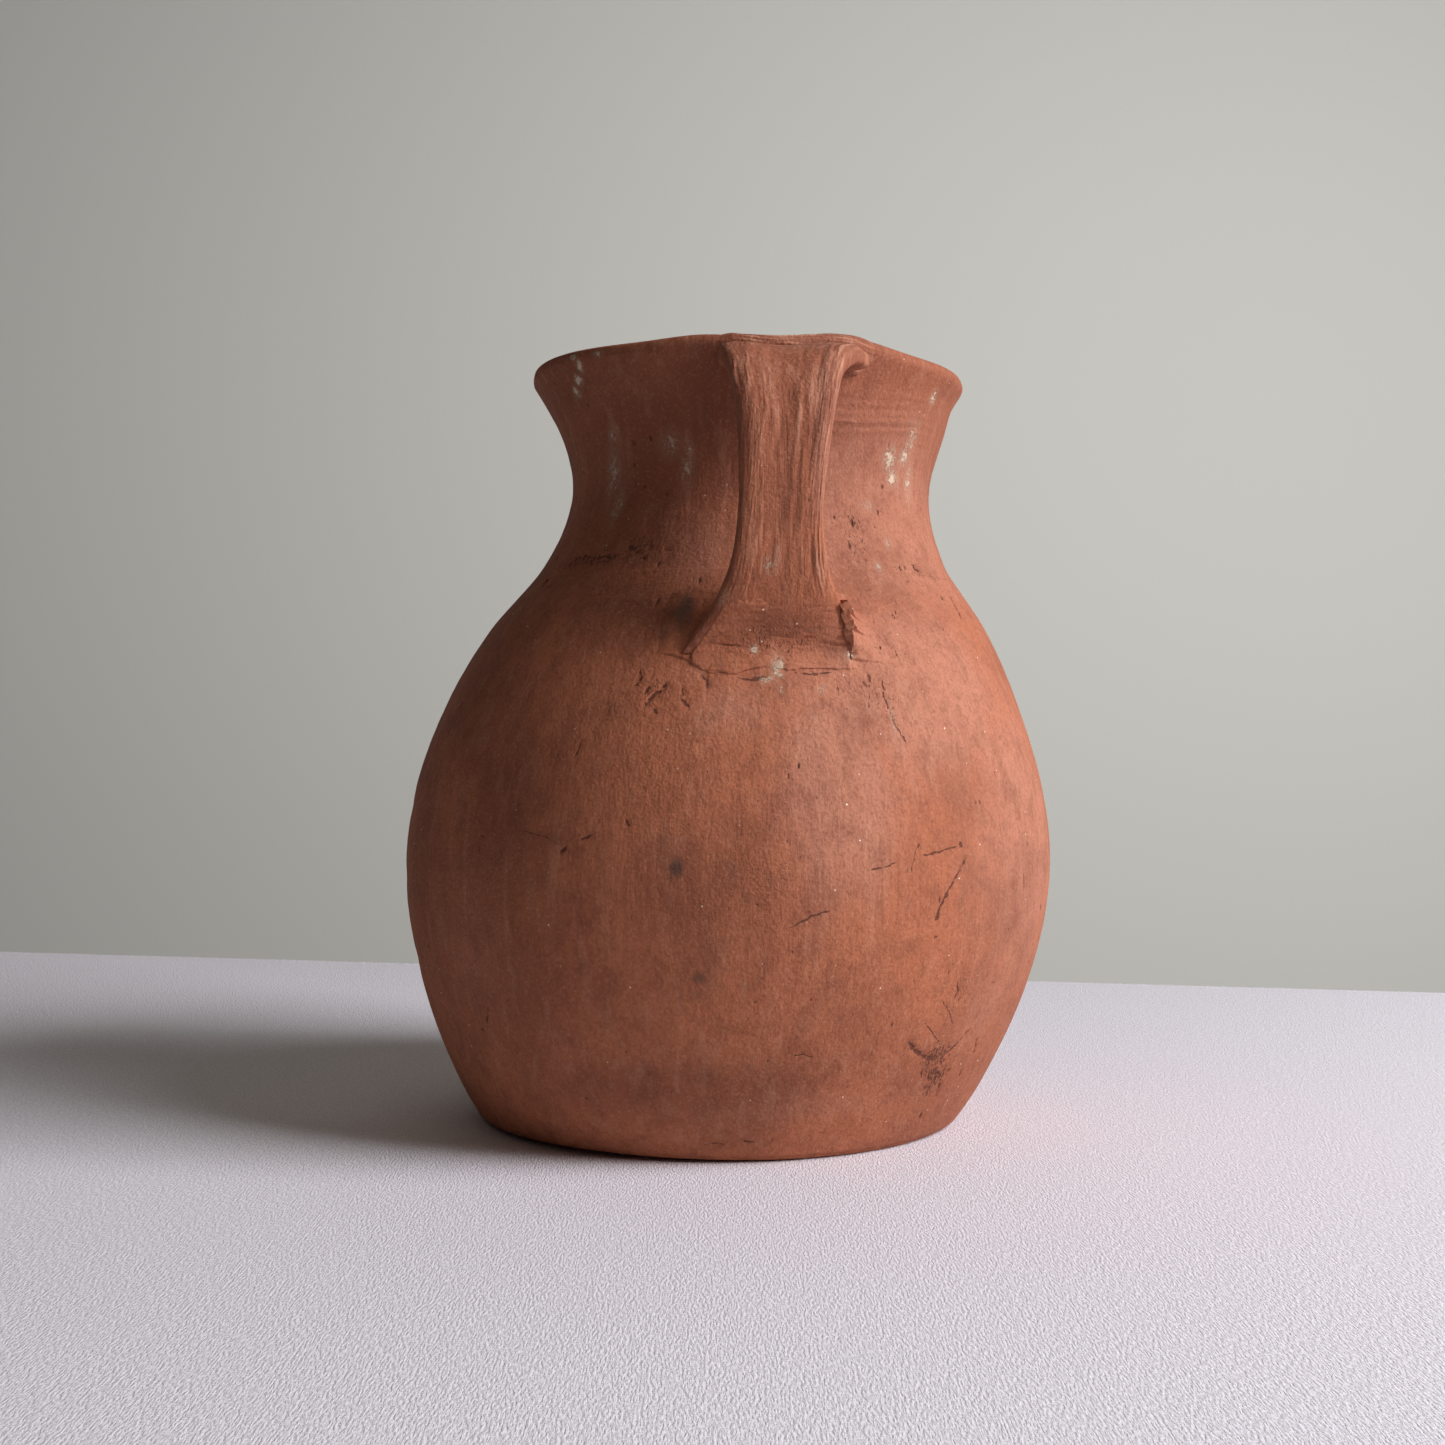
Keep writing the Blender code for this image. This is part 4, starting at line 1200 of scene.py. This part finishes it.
def clay(name, brown=0.35, pink=0.5, streaks=0.5, grit=0.5, bloom=0.3):
    """Fired clay. The shares from 0 to 1 say how much of each thing it shows."""
    paint = Paint(name)
    broad = paint.noise(0.050, 4.0, 0.6)
    middle = paint.noise(0.017, 5.0, 0.62, warp=0.5)
    mottle = paint.noise(0.0055, 4.0, 0.6, stretch=(1.0, 1.0, 0.6))
    fine = paint.noise(0.0022, 5.0, 0.65)
    grain = paint.noise(0.0009, 3.0, 0.6)
    drawn = paint.noise(0.0040, 3.0, 0.6, stretch=(1.0, 1.0, 0.08))
    hairs = paint.noise(0.0011, 3.0, 0.6, stretch=(1.0, 1.0, 0.06))
    # Painted sheen in part: the pale mask makes the side that faces the light pinker, as well as where slip
    # dried.
    slip_and_sheen = paint.step(paint.mask("pale") * (0.5 + mottle) + middle * 0.35, 0.25, 0.85)
    # Painted shade in part: the brown mask darkens the side away from the light, the strap's shadow and the
    # strap's foot, as well as smoked ground.
    smoke_and_shade = paint.step(paint.mask("brown") * (0.45 + mottle) + broad * 0.2, 0.20, 0.95)
    high = paint.step(paint.height(), 0.140, 0.240)
    ridge = paint.mask("ridge")
    torn = paint.mask("torn")
    clusters = 0.35 + paint.step(middle, 0.45, 0.65) * 0.65
    grains = paint.specks(0.0024, 0.40 * grit, 0.17, 0.6) * clusters
    grains = paint.either(grains, paint.specks(0.0013, 0.34 * grit, 0.20, 0.8) * clusters)
    dashes = paint.noise(0.0010, 3.0, 0.6, stretch=(1.0, 1.0, 0.45))
    crumbs = paint.step(dashes + torn * 0.26, 0.72, 0.80) * paint.step(torn, 0.10, 0.40)
    jag = (fine - 0.5) * 1.3 + (grain - 0.5) * 0.7
    shaken = paint.node("ShaderNodeMath", {"operation": "ABSOLUTE"}, {0: paint.mask("crack") + jag})
    width = paint.mask("open") * (paint.step(paint.noise(0.0016, 3.0), 0.30, 0.62) * 1.5 + 0.10)
    crack = paint.step(width - Flow(paint, shaken.outputs[0]), 0.0, 0.10)
    hollow = paint.step(paint.mask("hole") * (grain + 0.45), 0.40, 1.05)
    # Painted shade: cracks, torn crumbs, pits, tears and creases are darkened through this mask.
    cut = paint.either(paint.either(crack, crumbs * 0.8), hollow * 0.8)
    # Painted shadow in part: the soot mask darkens the pocket beside the strap's foot and the strap's left
    # edge, as well as fire smudges.
    soot_and_shadow_share = paint.step(paint.mask("soot_and_painted_shadow") * (0.5 + mottle) * 0.9 + fine * 0.25, 0.30, 1.05)
    pores = paint.noise(0.0018, 6.0, 0.75)
    holding = paint.mask("lime")
    limed = paint.step(holding * 0.58 + pores, 0.80, 0.97) * paint.step(holding, 0.10, 0.40)
    veil = paint.step(paint.noise(0.026, 5.0, 0.65), 0.56, 0.80) * paint.step(fine, 0.42, 0.66)
    dust = paint.step(holding, 0.10, 0.9) * paint.step(grain, 0.40, 0.60) * 0.42 + veil * bloom * 0.26
    # Mica flecks, painted near-white as the glint they give.
    mica_and_glint = paint.specks(0.0034, 0.20, 0.100, 1.0)
    layers = (
        (slip_and_sheen * pink, "pink"),
        (paint.step(broad, 0.45, 0.68) * brown, "brown"),
        (paint.step(middle, 0.48, 0.70) * brown, "brown"),
        (smoke_and_shade * 0.66, "brown"),
        (high * 0.50, "brown"),
        (paint.step(mottle, 0.47, 0.72) * 0.38, "brown"),
        (paint.step(drawn, 0.50, 0.72) * streaks * 0.40, "buff"),
        (paint.step(hairs, 0.50, 0.72) * streaks * 0.55, "brown"),
        (paint.step(fine, 0.50, 0.70) * 0.30, "brown"),
        (paint.step(grain, 0.50, 0.70) * 0.42, "brown"),
        (paint.step(1 - grain, 0.52, 0.72) * 0.30, "buff"),
        # Painted highlight on the crests of the strap's furrows, and painted shade in their grooves.
        (paint.step(ridge, 0.10, 0.70) * 0.72, "buff"),
        (paint.step(0 - ridge, 0.05, 0.70) * 0.72, "brown"),
        (grains * 0.62, "deep"),
        (soot_and_shadow_share * 0.80, "soot_and_painted_shadow"),
        (cut * 0.85, "deep"),
        (dust, "lime"),
        (limed * 0.72, "lime"),
        (mica_and_glint, "mica_and_glint"),
    )
    colour = TONES["orange"]
    for share, tone in layers:
        colour = paint.mix(share, colour, TONES[tone])
    paint.feed(paint.shader.inputs["Base Color"], colour)
    rough = 0.76 + fine * 0.16 - mica_and_glint * 0.4 - paint.step(drawn, 0.5, 0.8) * 0.08
    paint.feed(paint.shader.inputs["Roughness"], rough)
    relief = fine * 0.75 + grain * (torn * 1.2 + 0.55) + hairs * 0.70 * streaks + drawn * 0.9 * streaks
    relief = relief - grains * 0.55 - cut * 1.3 + limed * 0.30 + mottle * 0.5
    paint.feed(paint.shader.inputs["Normal"], paint.bump(relief, 0.00045))
    paint.shader.inputs["Specular IOR Level"].default_value = 0.40
    return paint.material


FINISHES = {
    "wall_clay": clay("wall_clay", brown=0.45, pink=0.75, streaks=0.50, grit=0.6, bloom=0.35),
    "neck_clay": clay("neck_clay", brown=0.45, pink=0.75, streaks=0.45, grit=0.5, bloom=0.5),
    "base_clay": clay("base_clay", brown=0.50, pink=0.40, streaks=0.10, grit=0.8, bloom=0.4),
    "handle_clay": clay("handle_clay", brown=0.35, pink=0.65, streaks=0.9, grit=0.3, bloom=0.6),
    "luting_clay": clay("luting_clay", brown=0.40, pink=0.70, streaks=0.30, grit=0.7, bloom=0.5),
}
for node, piece in pieces.items():
    piece.data.materials.clear()
    piece.data.materials.append(FINISHES[piece["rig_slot"]])

# %% [markdown]
# ## The table, the wall behind and the light
# The jug stands on a pale table in front of a plain grey wall. One large soft light, like a
# window, stands to the right and a little in front, so the left side falls into shade. The table
# ends about a quarter of a metre behind the jug, and its far edge runs slightly askew.

# %% Stage
TABLE_FRONT, TABLE_THICK = -1.2, 0.03
TABLE_LEFT, TABLE_RIGHT = -1.6, 1.6
TABLE_BACK, TABLE_SKEW = 0.345, -0.215


def plain(name, colour, roughness, grain=0.0, weave=0.0):
    paint = Paint(name)
    tone = paint.noise(0.12, 3.0)
    if weave:
        warp = paint.noise(0.0006, 2.0, stretch=(1.0, 0.25, 1.0))
        weft = paint.noise(0.0006, 2.0, stretch=(0.25, 1.0, 1.0))
        tone = paint.step(warp + weft, 0.75, 1.25)
        paint.feed(paint.shader.inputs["Normal"], paint.bump(tone, weave))
    shaded = tuple(c * (1 - grain) for c in colour[:3]) + (1.0,)
    paint.feed(paint.shader.inputs["Base Color"], paint.mix(tone, colour, shaded))
    paint.shader.inputs["Roughness"].default_value = roughness
    paint.shader.inputs["Specular IOR Level"].default_value = 0.2
    return paint.material


deselect()
bpy.ops.mesh.primitive_cube_add(size=1.0, location=(0.0, 0.0, 0.0))
table = name_piece("table")
corners = read_points(table)
corners[:, 0] = np.where(corners[:, 0] > 0, TABLE_RIGHT, TABLE_LEFT)
back = TABLE_BACK + TABLE_SKEW * corners[:, 0]
corners[:, 1] = np.where(corners[:, 1] > 0, back, TABLE_FRONT)
corners[:, 2] = np.where(corners[:, 2] > 0, 0.0, -TABLE_THICK)
table.data.vertices.foreach_set("co", corners.ravel())
table.data.materials.append(plain("table_cloth", (0.88, 0.87, 0.93, 1.0), 0.9, 0.16, 0.00016))

deselect()
bpy.ops.mesh.primitive_plane_add(size=8.0, location=(0.0, 2.2, 0.5), rotation=(math.pi / 2, 0.0, 0.0))
backdrop = name_piece("backdrop")
bpy.ops.object.transform_apply(location=True, rotation=True, scale=True)
backdrop.data.materials.append(plain("backdrop_paint", (0.52, 0.52, 0.49, 1.0), 0.9))

# %% Light
LIGHT_AZIMUTH, LIGHT_ELEVATION, LIGHT_DISTANCE = 67.0, 31.0, 1.9
turn, climb = math.radians(LIGHT_AZIMUTH), math.radians(LIGHT_ELEVATION)
level = LIGHT_DISTANCE * math.cos(climb)
window_place = (level * math.sin(turn), -level * math.cos(turn), 0.12 + LIGHT_DISTANCE * math.sin(climb))
upright = math.pi / 2
# The window, two lights turned to the wall, weaker on the left, and a dim warm ceiling: name, place,
# tip, turn, width, height, power in watts and tint.
LIGHTS = (
    ("window", window_place, upright - climb, turn, 0.95, 1.2, 49.0, (1.0, 0.965, 1.0)),
    ("wall_right", (1.2, 0.55, 0.6), upright, 0.0, 2.4, 2.4, 31.0, (1.0, 0.99, 0.965)),
    ("wall_left", (-1.0, 0.55, 0.6), upright, 0.0, 2.0, 2.0, 8.0, (1.0, 0.99, 0.965)),
    ("ceiling", (-0.5, -0.2, 1.7), 0.0, 0.0, 2.0, 2.0, 2.6, (1.0, 0.84, 0.66)),
)
deselect()
for name, place, tip, turned, wide, tall, power, tint in LIGHTS:
    bpy.ops.object.light_add(type="AREA", location=place, rotation=(tip, 0.0, turned))
    light = bpy.context.object
    light.name = name
    light.data.shape = "RECTANGLE"
    light.data.size, light.data.size_y = wide, tall
    light.data.energy = power
    light.data.color = tint
    light.visible_camera = False
print("lights:", ", ".join(row[0] for row in LIGHTS))

world = bpy.data.worlds.new("room")
bpy.context.scene.world = world
world.use_nodes = True
room = world.node_tree.nodes["Background"].inputs
room["Color"].default_value = (1.0, 0.93, 0.85, 1.0)
room["Strength"].default_value = 0.022

# %% Camera
CAMERA = (0.0019, -0.6190, 0.1280)
LENS, PITCH_UP = 45.8, 0.17
bpy.ops.object.camera_add(location=CAMERA, rotation=(math.radians(90.0 + PITCH_UP), 0.0, 0.0))
camera = bpy.context.object
camera.name = "camera"
camera.data.lens = LENS
camera.data.sensor_width = 36.0
camera.data.clip_start = 0.01
bpy.context.scene.camera = camera
bpy.context.scene.view_settings.view_transform = "Standard"
